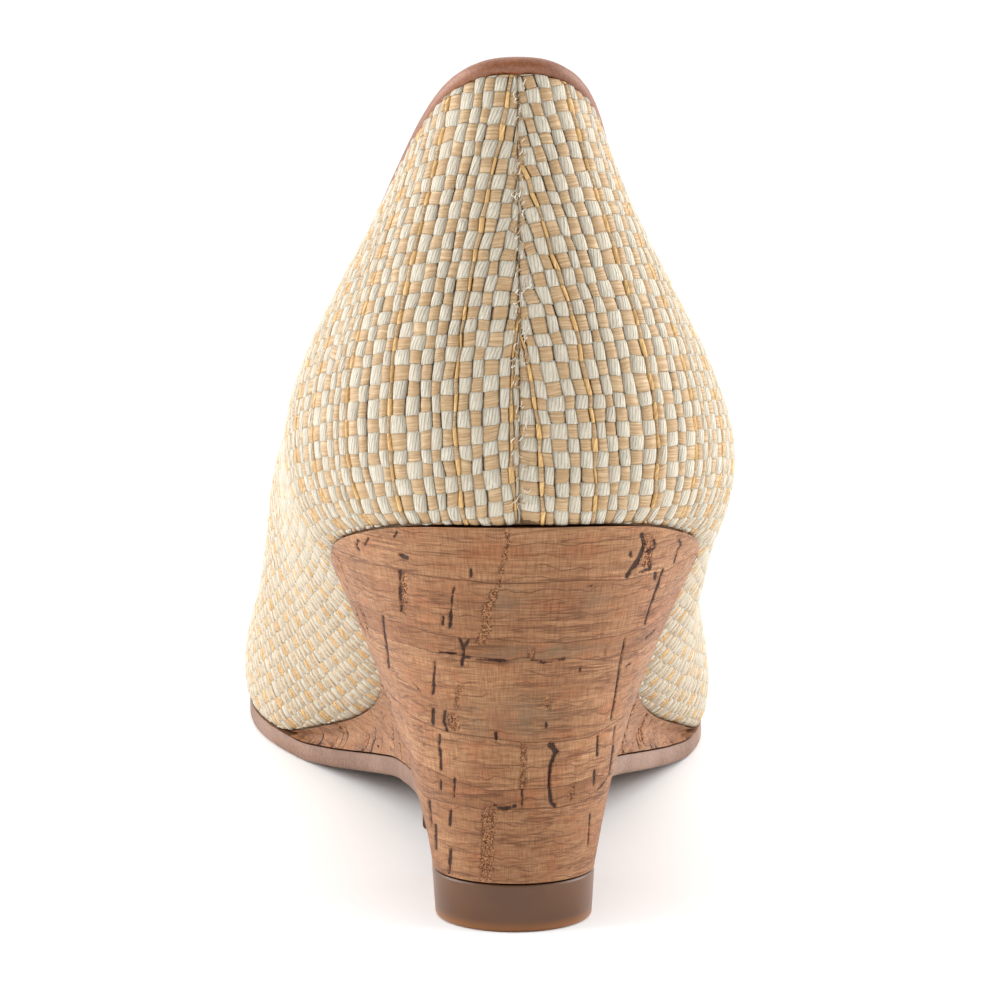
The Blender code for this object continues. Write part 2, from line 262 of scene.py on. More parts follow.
@dataclass
class Last:
    """The form that the shoe is made on, in millimetres."""

    foot_length: float = 230.5
    ball_width: float = 77.0
    heel_height: float = 53.2
    throat_height: float = 42.2
    back_height: float = 116.3
    toe_spring_height: float = 9.8
    spring_start: float = 0.675
    spring_power: float = 1.8
    arch_rise: float = 8.8
    sole_thickness: float = 3.0
    gap: float = 0.3
    box_places: tuple[int, int] = (361, 25)
    places_a_section: int = 40

    def __post_init__(self) -> None:
        """Run the closed curves through the sections, and find the part's frame."""
        width, length = self.ball_width, self.foot_length
        self.toe = len(SECTIONS) - 1
        self.round = 2.0 * self.toe
        self.foot = self._loop(lambda s: (s.lateral * width, s.along * length),
                               lambda s: (-s.medial * width, s.along * length))
        self.top = self._loop(lambda s: (s.top_lateral * width, s.top_along * length, s.top_height),
                              lambda s: (-s.top_medial * width, s.top_along * length, s.top_height))
        self.swell = self._loop(*[lambda s: (s.bulge, s.rise, s.flare, s.drop)] * 2)
        around, upward = self.box_places
        u, v = np.meshgrid(np.linspace(0.0, self.round, around), np.linspace(0.0, 1.0, upward))
        wall = self.wall(u.ravel(), v.ravel())
        low, high = (np.array(corner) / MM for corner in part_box("upper"))
        self.shift = 0.5 * (low + high) - 0.5 * (wall.min(axis=0) + wall.max(axis=0))
        self.shift[2] = 0.0

    def _loop(self, lateral: Callable, medial: Callable) -> ClosedSpline:
        """A closed curve out along the lateral side and back along the medial one.

        Args:
            lateral: Gives a section's point on the lateral side.
            medial: Gives its point on the medial side.

        Returns:
            The curve.
        """
        out = [lateral(section) for section in SECTIONS]
        back = [medial(section) for section in SECTIONS[self.toe - 1:0:-1]]
        return ClosedSpline(out + back)

    def toe_spring(self, y: Array) -> Array:
        """How far the toe lifts off the ground."""
        share = np.clip((y / self.foot_length - self.spring_start) / (1.0 - self.spring_start), 0.0, None)
        return self.toe_spring_height * share**self.spring_power

    def sole_bottom(self, y: Array) -> Array:
        """Height of the outsole's underside."""
        return self.arch_rise * smooth_profile(ARCH, y / self.foot_length) + self.toe_spring(y)

    def footbed(self, y: Array) -> Array:
        """Height of the feather edge."""
        level = self.heel_height * smooth_profile(FOOTBED, y / self.foot_length)
        return level + self.sole_thickness + self.gap + self.toe_spring(y)

    @staticmethod
    def outward(loop: ClosedSpline, places: Array) -> Array:
        """Level directions that point out of a loop.

        Args:
            loop: The closed curve, counterclockwise from above.
            places: Its parameters.

        Returns:
            One direction a row.
        """
        reach = 0.01
        ahead = loop.at(places + reach) - loop.at(places - reach)
        return unit(np.column_stack((ahead[:, 1], -ahead[:, 0], np.zeros(len(places)))))

    def handles(self, u: Array) -> tuple[Array, Array, Array, Array]:
        """Control points of the wall's curve, from feather edge to topline.

        Args:
            u: Places round the last.

        Returns:
            The feather edge, the two handles above it and the topline, with one point a row.
        """
        bulge, rise, flare, drop = self.swell.at(u).T[:, :, None]
        plan = self.foot.at(u)
        low = np.column_stack((plan, self.footbed(plan[:, 1])))
        high = self.top.at(u)
        high[:, 2] = self.throat_height + high[:, 2] * (self.back_height - self.throat_height)
        above_low = low + bulge * self.outward(self.foot, u) + rise * UP
        below_high = high + flare * self.outward(self.top, u) - drop * UP
        return low, above_low, below_high, high

    def wall(self, u: Array, v: Array) -> Array:
        """Points of the upper's outer face.

        Args:
            u: Places round the last, from the heel along the lateral side.
            v: Places up the wall, from 0 at the feather edge to 1 at the topline.

        Returns:
            One point a row.
        """
        low, above_low, below_high, high = self.handles(u)
        v = np.asarray(v)[:, None]
        w = 1.0 - v
        return w**3 * low + 3.0 * v * w**2 * above_low + 3.0 * v**2 * w * below_high + v**3 * high

    def wall_normal(self, u: Array, v: Array) -> Array:
        """Outward directions of the upper's outer face.

        Args:
            u: Places round the last.
            v: Places up the wall.

        Returns:
            One direction a row.
        """
        step = 0.004
        ahead = self.wall(u + step, v) - self.wall(u - step, v)
        upward = self.wall(u, v + step) - self.wall(u, v - step)
        return unit(np.cross(ahead, upward))

    def section_at(self, y: float) -> float:
        """The section whose feather edge lies at this Y."""
        places = np.linspace(0.0, self.toe, self.places_a_section * self.toe + 1)
        return float(np.interp(y, self.foot.at(places)[:, 1], places))

    def outline(self, u: Array, inset: float = 0.0) -> Array:
        """Plan of the feather edge, moved inwards."""
        return self.foot.at(u) - inset * self.outward(self.foot, u)[:, :2]

    def ring(self, start: float, count: int) -> Array:
        """Places from a section along the lateral side to the toe, and back along the medial one."""
        u = np.linspace(start, self.toe - TIP, count)
        return np.concatenate((u, self.round - u[::-1]))

    def placed(self, points: Array) -> Array:
        """Points of the last in metres, in the part's frame."""
        return (points + self.shift) * MM


class Graph:
    """A node tree that is filled step by step."""

    def __init__(self, tree: Tree) -> None:
        """Keep the tree that is filled."""
        self.tree = tree

    def add(self, kind: str, values: dict | None = None, **settings: object) -> Node:
        """Add one node.

        Args:
            kind: The node's type name.
            values: What each input, by name or number, is linked to or set to.
            settings: The node's own options.

        Returns:
            The new node.
        """
        node = self.tree.nodes.new(kind)
        for name, setting in settings.items():
            setattr(node, name, setting)
        self.fill(node, values or {})
        return node

    def fill(self, node: Node, values: dict) -> None:
        """Link or set a node's inputs, by name or number.

        Args:
            node: The node.
            values: What each input is linked to or set to.
        """
        for name, value in values.items():
            if isinstance(value, Socket):
                self.tree.links.new(value, node.inputs[name])
            else:
                node.inputs[name].default_value = value

    def out(self, kind: str, values: dict | None = None, **settings: object) -> Socket:
        """What a new node puts out first."""
        return self.add(kind, values, **settings).outputs[0]

    def math(self, operation: str, *values: object) -> Socket:
        """Result of a sum on numbers."""
        return self.out("ShaderNodeMath", dict(enumerate(values)), operation=operation)

    def times(self, first: object, second: object) -> Socket:
        """Two numbers multiplied."""
        return self.math("MULTIPLY", first, second)

    def parts(self, vector: Socket) -> Sequence[Socket]:
        """The three numbers of a vector."""
        return self.add("ShaderNodeSeparateXYZ", {0: vector}).outputs

    def vector(self, *values: object) -> Socket:
        """A vector from up to three numbers."""
        return self.out("ShaderNodeCombineXYZ", dict(enumerate(values)))

    def place(self) -> Socket:
        """Places in a piece's own coordinates, for its material."""
        return self.add("ShaderNodeTexCoord").outputs["Object"]

    def painted(self, name: str) -> Socket:
        """A vector that a mesh keeps, for its material."""
        return self.add("ShaderNodeAttribute", attribute_name=name).outputs["Vector"]

    def kept(self, name: str, kind: str = "FLOAT_VECTOR") -> Socket:
        """What a mesh keeps under a name, for Geometry Nodes."""
        return self.out("GeometryNodeInputNamedAttribute", {"Name": name}, data_type=kind)

    def scaled(self, vector: Socket, by: object) -> Socket:
        """A vector times a number."""
        return self.out("ShaderNodeVectorMath", {0: vector, "Scale": by}, operation="SCALE")

    def joined(self, first: Socket, second: object, operation: str = "ADD") -> Socket:
        """Two vectors added, or joined by another vector sum."""
        return self.out("ShaderNodeVectorMath", {0: first, 1: second}, operation=operation)

    def ease(self, value: object, low: object, high: object, start: float = 0.0, end: float = 1.0) -> Socket:
        """A number eased from one range to another."""
        values = {"Value": value, "From Min": low, "From Max": high, "To Min": start, "To Max": end}
        return self.out("ShaderNodeMapRange", values, interpolation_type="SMOOTHSTEP")

    def mix(self, factor: object, first: object, second: object, blend: str = "MIX") -> Socket:
        """Two colours mixed."""
        node = self.add("ShaderNodeMix", {0: factor, 6: first, 7: second}, data_type="RGBA", blend_type=blend)
        return node.outputs[2]

    def noise(self, vector: object, scale: object, detail: object = 2.0, rough: float = 0.55) -> Socket:
        """A cloudy pattern between 0 and 1."""
        values = {"Vector": vector, "Scale": scale, "Detail": detail, "Roughness": rough}
        return self.out("ShaderNodeTexNoise", values)

    def bump(self, height: object, depth: float) -> Socket:
        """A normal from a height, in millimetres of relief."""
        values = {"Height": height, "Strength": 1.0, "Distance": depth * MM}
        return self.out("ShaderNodeBump", values)


def new_tree(name: str, kind: str, inputs: dict[str, str], outputs: dict[str, str]) -> tuple[Graph, dict]:
    """A new node tree with named sockets.

    Args:
        name: The tree's name.
        kind: What it makes, a shader or a geometry.
        inputs: Kind of each socket put in.
        outputs: Kind of each socket put out.

    Returns:
        The graph and its input sockets by name.
    """
    tree = bpy.data.node_groups.new(name, f"{kind}NodeTree")
    for way, sockets in (("INPUT", inputs), ("OUTPUT", outputs)):
        for label, socket in sockets.items():
            tree.interface.new_socket(label, in_out=way, socket_type=f"NodeSocket{socket}")
    graph = Graph(tree)
    entry = graph.add("NodeGroupInput")
    return graph, {label: entry.outputs[label] for label in inputs}


class Kit:
    """Node groups that several finishes share, each built once."""

    @staticmethod
    @cache
    def strands() -> Tree:
        """Fine fibres along a yarn, read from places across it, along it and a number for each float.

        Returns:
            The node group, which puts out the fibres' lines and a tone.
        """
        sizes = dict.fromkeys(("Count", "Twist", "Streak", "Even"), "Float")
        inputs = {"Yarn": "Vector", **sizes}
        graph, given = new_tree("Strands", "Shader", inputs, {"Lines": "Float", "Tone": "Float"})
        parts = graph.parts(given["Yarn"])
        across = graph.math("MULTIPLY_ADD", parts[1], given["Twist"], parts[0])
        counted = graph.times(across, given["Count"])
        stretched = graph.times(parts[1], graph.times(given["Count"], given["Streak"]))
        place = graph.vector(counted, stretched, graph.times(parts[2], 71.0))
        cloud = graph.noise(place, 1.0, 2.0, 0.6)
        turns = graph.times(graph.math("MULTIPLY_ADD", cloud, 0.7, counted), math.pi)
        even = graph.ease(graph.math("ABSOLUTE", graph.math("SINE", turns)), 0.05, 0.75)
        hairs = graph.noise(graph.joined(place, (5.0, 9.0, 1.0), "MULTIPLY"), 1.0, 1.0)
        even = graph.times(even, graph.ease(hairs, 0.3, 0.6, 0.7, 1.0))
        loose = graph.ease(cloud, 0.36, 0.64)
        lines = graph.out("ShaderNodeMix", {0: given["Even"], 2: loose, 3: even}, data_type="FLOAT")
        tone = graph.add("ShaderNodeTexWhiteNoise", {"W": graph.times(parts[2], 913.0)},
                         noise_dimensions="1D").outputs["Value"]
        graph.add("NodeGroupOutput", {"Lines": lines, "Tone": tone})
        return graph.tree

    @staticmethod
    @cache
    def grain() -> Tree:
        """Pebbled leather: small cells with creases between them, and a cloudy tone.

        Returns:
            The node group, which puts out a height and the tone.
        """
        inputs = {"Vector": "Vector", "Scale": "Float"}
        graph, given = new_tree("Grain", "Shader", inputs, {"Height": "Float", "Tone": "Float"})
        bent = graph.add("ShaderNodeTexNoise", {"Vector": given["Vector"], "Scale": 400.0}).outputs[1]
        place = graph.joined(given["Vector"], graph.scaled(bent, 0.0008))
        cells = graph.add("ShaderNodeTexVoronoi", {"Vector": place, "Scale": given["Scale"]},
                          feature="DISTANCE_TO_EDGE").outputs["Distance"]
        fine = graph.noise(given["Vector"], 2600.0)
        height = graph.math("MULTIPLY_ADD", fine, 0.35, graph.ease(cells, 0.0, 0.22))
        graph.add("NodeGroupOutput", {"Height": height, "Tone": graph.noise(given["Vector"], 60.0, 4.0)})
        return graph.tree

    @staticmethod
    @cache
    def waver() -> Tree:
        """A cloudy tone, eased from 0 to 1 between two levels of its pattern.

        Returns:
            The node group, which puts out the tone.
        """
        inputs = {"Vector": "Vector", **dict.fromkeys(("Scale", "Detail", "Low", "High"), "Float")}
        graph, given = new_tree("Waver", "Shader", inputs, {"Tone": "Float"})
        cloud = graph.noise(given["Vector"], given["Scale"], given["Detail"])
        graph.add("NodeGroupOutput", {"Tone": graph.ease(cloud, given["Low"], given["High"])})
        return graph.tree


def new_material(name: str) -> tuple[Material, Graph, Node]:
    """A material with its graph and its shader.

    Args:
        name: The material's name.

    Returns:
        The material, a graph on its nodes, and its shader.
    """
    material = bpy.data.materials.new(name)
    material.use_nodes = True
    return material, Graph(material.node_tree), material.node_tree.nodes["Principled BSDF"]


def wavering(graph: Graph, scale: float, low: float, high: float, detail: float = 2.0) -> Socket:
    """A cloudy tone in a piece's own coordinates."""
    values = {"Vector": graph.place(), "Scale": scale, "Detail": detail, "Low": low, "High": high}
    return graph.out("ShaderNodeGroup", values, node_tree=Kit.waver())


def two_tone(name: str, colours: tuple[Colour, Colour], scale: float, spread: float,
             roughness: float) -> Material:
    """A dull material whose tone wavers between two colours, the more sharply the smaller the spread.

    Args:
        name: The material's name.
        colours: The two colours.
        scale: How fine the pattern is.
        spread: How far the change reaches to each side of the pattern's middle.
        roughness: How dull the material is.

    Returns:
        The material.
    """
    material, graph, shader = new_material(name)
    tone = wavering(graph, scale, 0.5 - spread, 0.5 + spread)
    graph.fill(shader, {"Base Color": graph.mix(tone, *colours), "Roughness": roughness})
    return material


@dataclass(frozen=True)
class YarnFinish:
    """A yarn's colours, its fibres and how it shines."""

    name: str
    light: Colour
    dark: Colour
    tint: Colour
    count: float
    twist: float
    streak: float
    relief: float
    roughness: float
    sheen: float = 0.0
    # Shares of colour left at a float's sides and at its ends: painted shade in the grooves and where the
    # float dives under its neighbours
    side_painted_shade: float = 0.45
    end_painted_shade: float = 1.0
    even: float = 0.0

    def material(self) -> Material:
        """The yarn's material, which reads each float's own places.

        Returns:
            The material.
        """
        material, graph, shader = new_material(self.name)
        yarn = graph.painted("yarn")
        strands = graph.add("ShaderNodeGroup", {
            "Yarn": yarn, "Count": self.count, "Twist": self.twist, "Streak": self.streak, "Even": self.even,
        }, node_tree=Kit.strands())
        lines, tone = strands.outputs["Lines"], strands.outputs["Tone"]
        colour = graph.mix(lines, self.dark, self.light)
        colour = graph.mix(graph.ease(tone, 0.35, 1.0, 0.0, 0.6), colour, self.tint)
        patch = graph.noise(graph.joined(yarn, (0.8, 0.5, 53.0), "MULTIPLY"), 1.0)
        colour = graph.mix(graph.ease(patch, 0.45, 0.7, 0.0, 0.5), colour, self.tint)
        # Darken each float towards its sides and its ends: painted shade, not a colour of the yarn
        for share, shade in zip(graph.parts(graph.painted("cell")), (self.side_painted_shade, self.end_painted_shade)):
            rim = graph.math("ABSOLUTE", graph.math("MULTIPLY_ADD", share, 2.0, -1.0))
            colour = graph.mix(1.0, colour, graph.ease(rim, 0.6, 1.0, 1.0, shade), "MULTIPLY")
        graph.fill(shader, {
            "Base Color": colour,
            "Roughness": graph.ease(lines, 0.0, 1.0, self.roughness + 0.08, self.roughness - 0.08),
            "Normal": graph.bump(lines, self.relief),
            "Sheen Weight": self.sheen,
        })
        return material


@dataclass(frozen=True)
class LeatherFinish:
    """Smooth or grained leather."""

    name: str
    light: Colour
    dark: Colour
    scale: float
    relief: float
    roughness: float
    coat: float = 0.0

    def material(self) -> Material:
        """Grain, a cloudy tone and a soft shine.

        Returns:
            The material.
        """
        material, graph, shader = new_material(self.name)
        values = {"Vector": graph.place(), "Scale": self.scale}
        grain = graph.add("ShaderNodeGroup", values, node_tree=Kit.grain())
        tone = graph.ease(grain.outputs["Tone"], 0.3, 0.7)
        colour = graph.mix(tone, self.dark, self.light)
        creases = graph.ease(grain.outputs["Height"], 0.1, 0.7, 0.72, 1.0)
        graph.fill(shader, {
            "Base Color": graph.mix(1.0, colour, creases, "MULTIPLY"),
            "Roughness": graph.ease(tone, 0.0, 1.0, self.roughness + 0.06, self.roughness - 0.06),
            "Normal": graph.bump(grain.outputs["Height"], self.relief),
            "Coat Weight": self.coat,
            "Coat Roughness": 0.3,
        })
        return material


def mesh_from(name: str, points: Array, faces: Sequence, materials: Iterable[Material],
              sharp: float = 40.0) -> Mesh:
    """A smooth mesh with sharp edges kept.

    Args:
        name: The mesh's name.
        points: Vertices in metres.
        faces: Vertex numbers of each face.
        materials: One material for each slot.
        sharp: Angle in degrees past which an edge stays sharp.

    Returns:
        The mesh.
    """
    mesh = bpy.data.meshes.new(name)
    mesh.from_pydata(points.tolist(), [], [list(face) for face in faces])
    mesh.shade_smooth()
    mesh.set_sharp_from_angle(angle=math.radians(sharp))
    for material in materials:
        mesh.materials.append(material)
    return mesh


def linked(name: str, data: bpy.types.ID) -> bpy.types.Object:
    """A new object in the scene.

    Args:
        name: The object's name.
        data: Its mesh, light or camera.

    Returns:
        The object.
    """
    thing = bpy.data.objects.new(name, data)
    bpy.context.scene.collection.objects.link(thing)
    return thing


def add_piece(name: str, mesh: Mesh, replaced: str | None = None) -> bpy.types.Object:
    """Put a finished mesh in the scene, on the shoe's one body.

    Args:
        name: The piece's name.
        mesh: Its mesh, in the part's frame.
        replaced: The solid that it stands for.

    Returns:
        The piece.
    """
    piece = linked(name, mesh)
    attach(piece, BODY)
    if replaced:
        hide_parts(replaced)
    mesh.calc_loop_triangles()
    LOG.info("%s: %d triangles", name, len(mesh.loop_triangles))
    return piece


def store(mesh: Mesh, name: str, values: Array) -> None:
    """Keep one number or vector for each vertex.

    Args:
        mesh: The mesh.
        name: The name that they are kept under.
        values: One for each vertex.
    """
    kind, key = ("FLOAT_VECTOR", "vector") if values.ndim == 2 else ("FLOAT", "value")
    attribute = mesh.attributes.new(name, kind, "POINT")
    attribute.data.foreach_set(key, np.ascontiguousarray(values, dtype=np.float32).ravel())


def slab(rings: Sequence[Array]) -> tuple[Array, Array]:
    """A closed solid from rings stacked from its lower face to its upper one.

    Args:
        rings: Ways round the piece, counterclockwise from above, all with the same even number of
            points, where places k and n - 1 - k lie across from each other.

    Returns:
        Vertices and faces.
    """
    count = len(rings[0])
    k = np.arange(count)
    after = (k + 1) % count
    faces = [np.column_stack((k, after, after + count, k + count)) + r * count for r in range(len(rings) - 1)]
    half = np.arange(count // 2 - 1)
    across = np.column_stack((half, half + 1, count - 2 - half, count - 1 - half))
    faces.append(across[:, ::-1])
    faces.append(across + (len(rings) - 1) * count)
    return np.concatenate(rings), np.concatenate(faces)


def geometry_tree(name: str, *sizes: str) -> tuple[Graph, dict[str, Socket]]:
    """Geometry Nodes that take a geometry, the named sizes and a material."""
    inputs = {"Geometry": "Geometry", **dict.fromkeys(sizes, "Float"), "Material": "Material"}
    return new_tree(name, "Geometry", inputs, {"Geometry": "Geometry"})


def end_tree(graph: Graph, geometry: Socket, material: Socket) -> None:
    """Realise what a tree made, shade it smooth and give it its material.

    Args:
        graph: The tree's graph.
        geometry: What the tree made.
        material: The material put in.
    """
    real = graph.out("GeometryNodeRealizeInstances", {0: geometry})
    smooth = graph.out("GeometryNodeSetShadeSmooth", {0: real})
    dressed = graph.out("GeometryNodeSetMaterial", {"Geometry": smooth, "Material": material})
    graph.add("NodeGroupOutput", {0: dressed})


def grown(name: str, seed: Mesh, tree: Tree, values: dict[str, object]) -> Mesh:
    """The plain mesh that a Geometry Nodes tree makes.

    Args:
        name: The new mesh's name.
        seed: The mesh that the tree starts from.
        tree: The tree.
        values: Its inputs by name.

    Returns:
        The evaluated mesh, with the host and its modifier removed.
    """
    host = linked(name, seed)
    modifier = host.modifiers.new(name, "NODES")
    modifier.node_group = tree
    for item in tree.interface.items_tree:
        if item.in_out == "INPUT" and item.name in values:
            modifier[item.identifier] = values[item.name]
    graph = bpy.context.evaluated_depsgraph_get()
    made = host.evaluated_get(graph)
    mesh = bpy.data.meshes.new_from_object(made, preserve_all_data_layers=True, depsgraph=graph)
    mesh.name = name
    host.modifiers.clear()
    bpy.data.objects.remove(host)
    bpy.data.meshes.remove(seed)
    return mesh


def strew(name: str, places: Array, kept: dict[str, Array], shape: Callable, sizes: dict[str, float],
          material: Material) -> None:
    """Strew copies of a small shape over points, joined in one piece.

    Args:
        name: The piece's name.
        places: The points, in metres.
        kept: What is kept on each point, its size among them.
        shape: Adds the shape to a graph, and gives it with its turn and its proportions.
        sizes: The shape's own sizes by name, in shares of the size kept on a point.
        material: Their material.
    """
    seeds = bpy.data.meshes.new(f"{name}_seeds")
    seeds.from_pydata(places.tolist(), [], [])
    for label, values in kept.items():
        store(seeds, label, values)
    graph, given = geometry_tree(name, *sizes)
    copy, turn, proportions = shape(graph, given)
    copies = graph.out("GeometryNodeInstanceOnPoints", {
        "Points": given["Geometry"], "Instance": copy, "Rotation": turn,
        "Scale": graph.scaled(graph.vector(*proportions), graph.kept("size", "FLOAT")),
    })
    end_tree(graph, copies, given["Material"])
    add_piece(name, grown(name, seeds, graph.tree, {**sizes, "Material": material}))


@dataclass
class FlatPattern:
    """The upper's cloth laid flat: its outer face, cut at the back seam, with as little stretch as can be."""

    last: Last
    columns: int = 90
    rows: int = 12
    rounds: int = 400
    lean: float = 0.15
    lean_from: float = 60.0
    lean_to: float = 130.0
    lean_axis: float = 30.0
    side_reach: float = 0.7

    def __post_init__(self) -> None:
        """Lay the wall flat and make it ready to be read."""
        u, v = np.meshgrid(np.linspace(0.0, self.last.round, self.columns + 1),
                           np.linspace(0.0, 1.0, self.rows + 1), indexing="ij")
        self.uv = np.column_stack((u.ravel(), v.ravel()))
        a, b, c, d = grid_cells(u.shape).T
        self.triangles = np.concatenate((np.column_stack((a, b, c)), np.column_stack((a, c, d))))
        points = self.last.wall(*self.uv.T)
        self.flat = self._relaxed(points, self._splayed(points, u.shape))
        toe, *_, throat = self.flat.reshape(*u.shape, 2)[self.columns // 2]
        turn = math.pi / 2.0 - math.atan2(*(toe - throat)[::-1])
        spin = np.array(((math.cos(turn), math.sin(turn)), (-math.sin(turn), math.cos(turn))))
        self.flat = (self.flat - throat) @ spin
        way = np.where(self.uv[:, 0] <= self.last.toe, 1.0, -1.0)
        fade = smoothstep(self.lean_from, self.lean_to, -self.flat[:, 1])
        self.flat[:, 1] -= self.lean * fade * (way * self.flat[:, 0] - self.lean_axis)
        level = np.column_stack((self.flat, np.zeros(len(self.flat)))).tolist()
        reach = self.uv[self.triangles, 0].mean(axis=1)
        far = self.side_reach * self.last.round
        self.parts = {Side.LATERAL: self.triangles[reach < far],
                      Side.MEDIAL: self.triangles[reach > self.last.round - far]}
        self.trees = {side: BVHTree.FromPolygons(level, part.tolist()) for side, part in self.parts.items()}

    def _splayed(self, points: Array, shape: tuple[int, int]) -> Array:
        """A first layout: the wall folded out level all round the topline.

        Args:
            points: The wall's points.
            shape: How many there are round the last and up the wall.

        Returns:
            A flat place for each point.
        """
        grid = points.reshape(*shape, 3)
        steps = np.linalg.norm(np.diff(grid, axis=1), axis=2)
        below = np.concatenate((np.cumsum(steps[:, ::-1], axis=1)[:, ::-1], np.zeros((shape[0], 1))), axis=1)
        out = self.last.outward(self.last.top, self.uv[:, 0])[:, :2].reshape(*shape, 2)
        return (grid[:, -1:, :2] + out * below[:, :, None]).reshape(-1, 2)

    def _relaxed(self, points: Array, flat: Array) -> Array:
        """Turn every triangle to its best place again and again until the layout keeps its true sizes.

        Args:
            points: The surface's points.
            flat: A first layout without folds.

        Returns:
            The flat places of the points.
        """
        corners = points[self.triangles]
        along, other = corners[:, 1] - corners[:, 0], corners[:, 2] - corners[:, 0]
        length = np.linalg.norm(along, axis=1)
        true = np.zeros((len(corners), 3, 2))
        true[:, 1, 0] = length
        true[:, 2, 0] = np.sum(along * other, axis=1) / length
        true[:, 2, 1] = np.linalg.norm(np.cross(along, other), axis=1) / length
        edges = []
        system = np.zeros((len(points), len(points)))
        for k in range(3):
            i, j = (k + 1) % 3, (k + 2) % 3
            first, second = true[:, i] - true[:, k], true[:, j] - true[:, k]
            weight = np.sum(first * second, axis=1) / cross(first, second)
            start, end = self.triangles[:, i], self.triangles[:, j]
            np.add.at(system, (start, start), weight)
            np.add.at(system, (end, end), weight)
            np.add.at(system, (start, end), -weight)
            np.add.at(system, (end, start), -weight)
            edges.append((start, end, weight[:, None], true[:, i] - true[:, j]))
        system[0] = 0.0
        system[0, 0] = 1.0
        solve = np.linalg.inv(system)
        for _ in range(self.rounds):
            spread = sum((weight * (flat[start] - flat[end]))[:, :, None] * span[:, None, :]
                         for start, end, weight, span in edges)
            turn = np.arctan2(spread[:, 1, 0] - spread[:, 0, 1], spread[:, 0, 0] + spread[:, 1, 1])
            cosine, sine = np.cos(turn), np.sin(turn)
            pull = np.zeros_like(flat)
            for start, end, weight, span in edges:
                turned = np.column_stack((cosine * span[:, 0] - sine * span[:, 1],
                                          sine * span[:, 0] + cosine * span[:, 1])) * weight
                np.add.at(pull, start, turned)
                np.add.at(pull, end, -turned)
            pull[0] = flat[0]
            flat = solve @ pull
        return flat

    def read(self, places: Array, side: Side) -> tuple[Array, Array, Array]:
        """Find flat places on the last.

        Args:
            places: Flat points, which may lie outside the pattern.
            side: The side to read, with the vamp, since the two quarters lie over each other when flat.

        Returns:
            Their places on the wall, the flat points moved to the pattern's edge where they lay
            outside, and how far they were moved.
        """
        found = [self.trees[side].find_nearest((x, y, 0.0)) for x, y in places]
        kept = np.array([hit[0][:2] for hit in found])
        moved = np.array([hit[3] for hit in found])
        corners = self.parts[side][[hit[2] for hit in found]]
        a, b, c = (self.flat[corners[:, k]] for k in range(3))
        across, up, to = b - a, c - a, kept - a
        area = cross(across, up)
        second, third = cross(to, up) / area, cross(across, to) / area
        shares = np.column_stack((1.0 - second - third, second, third))
        return np.sum(self.uv[corners] * shares[:, :, None], axis=1), kept, moved


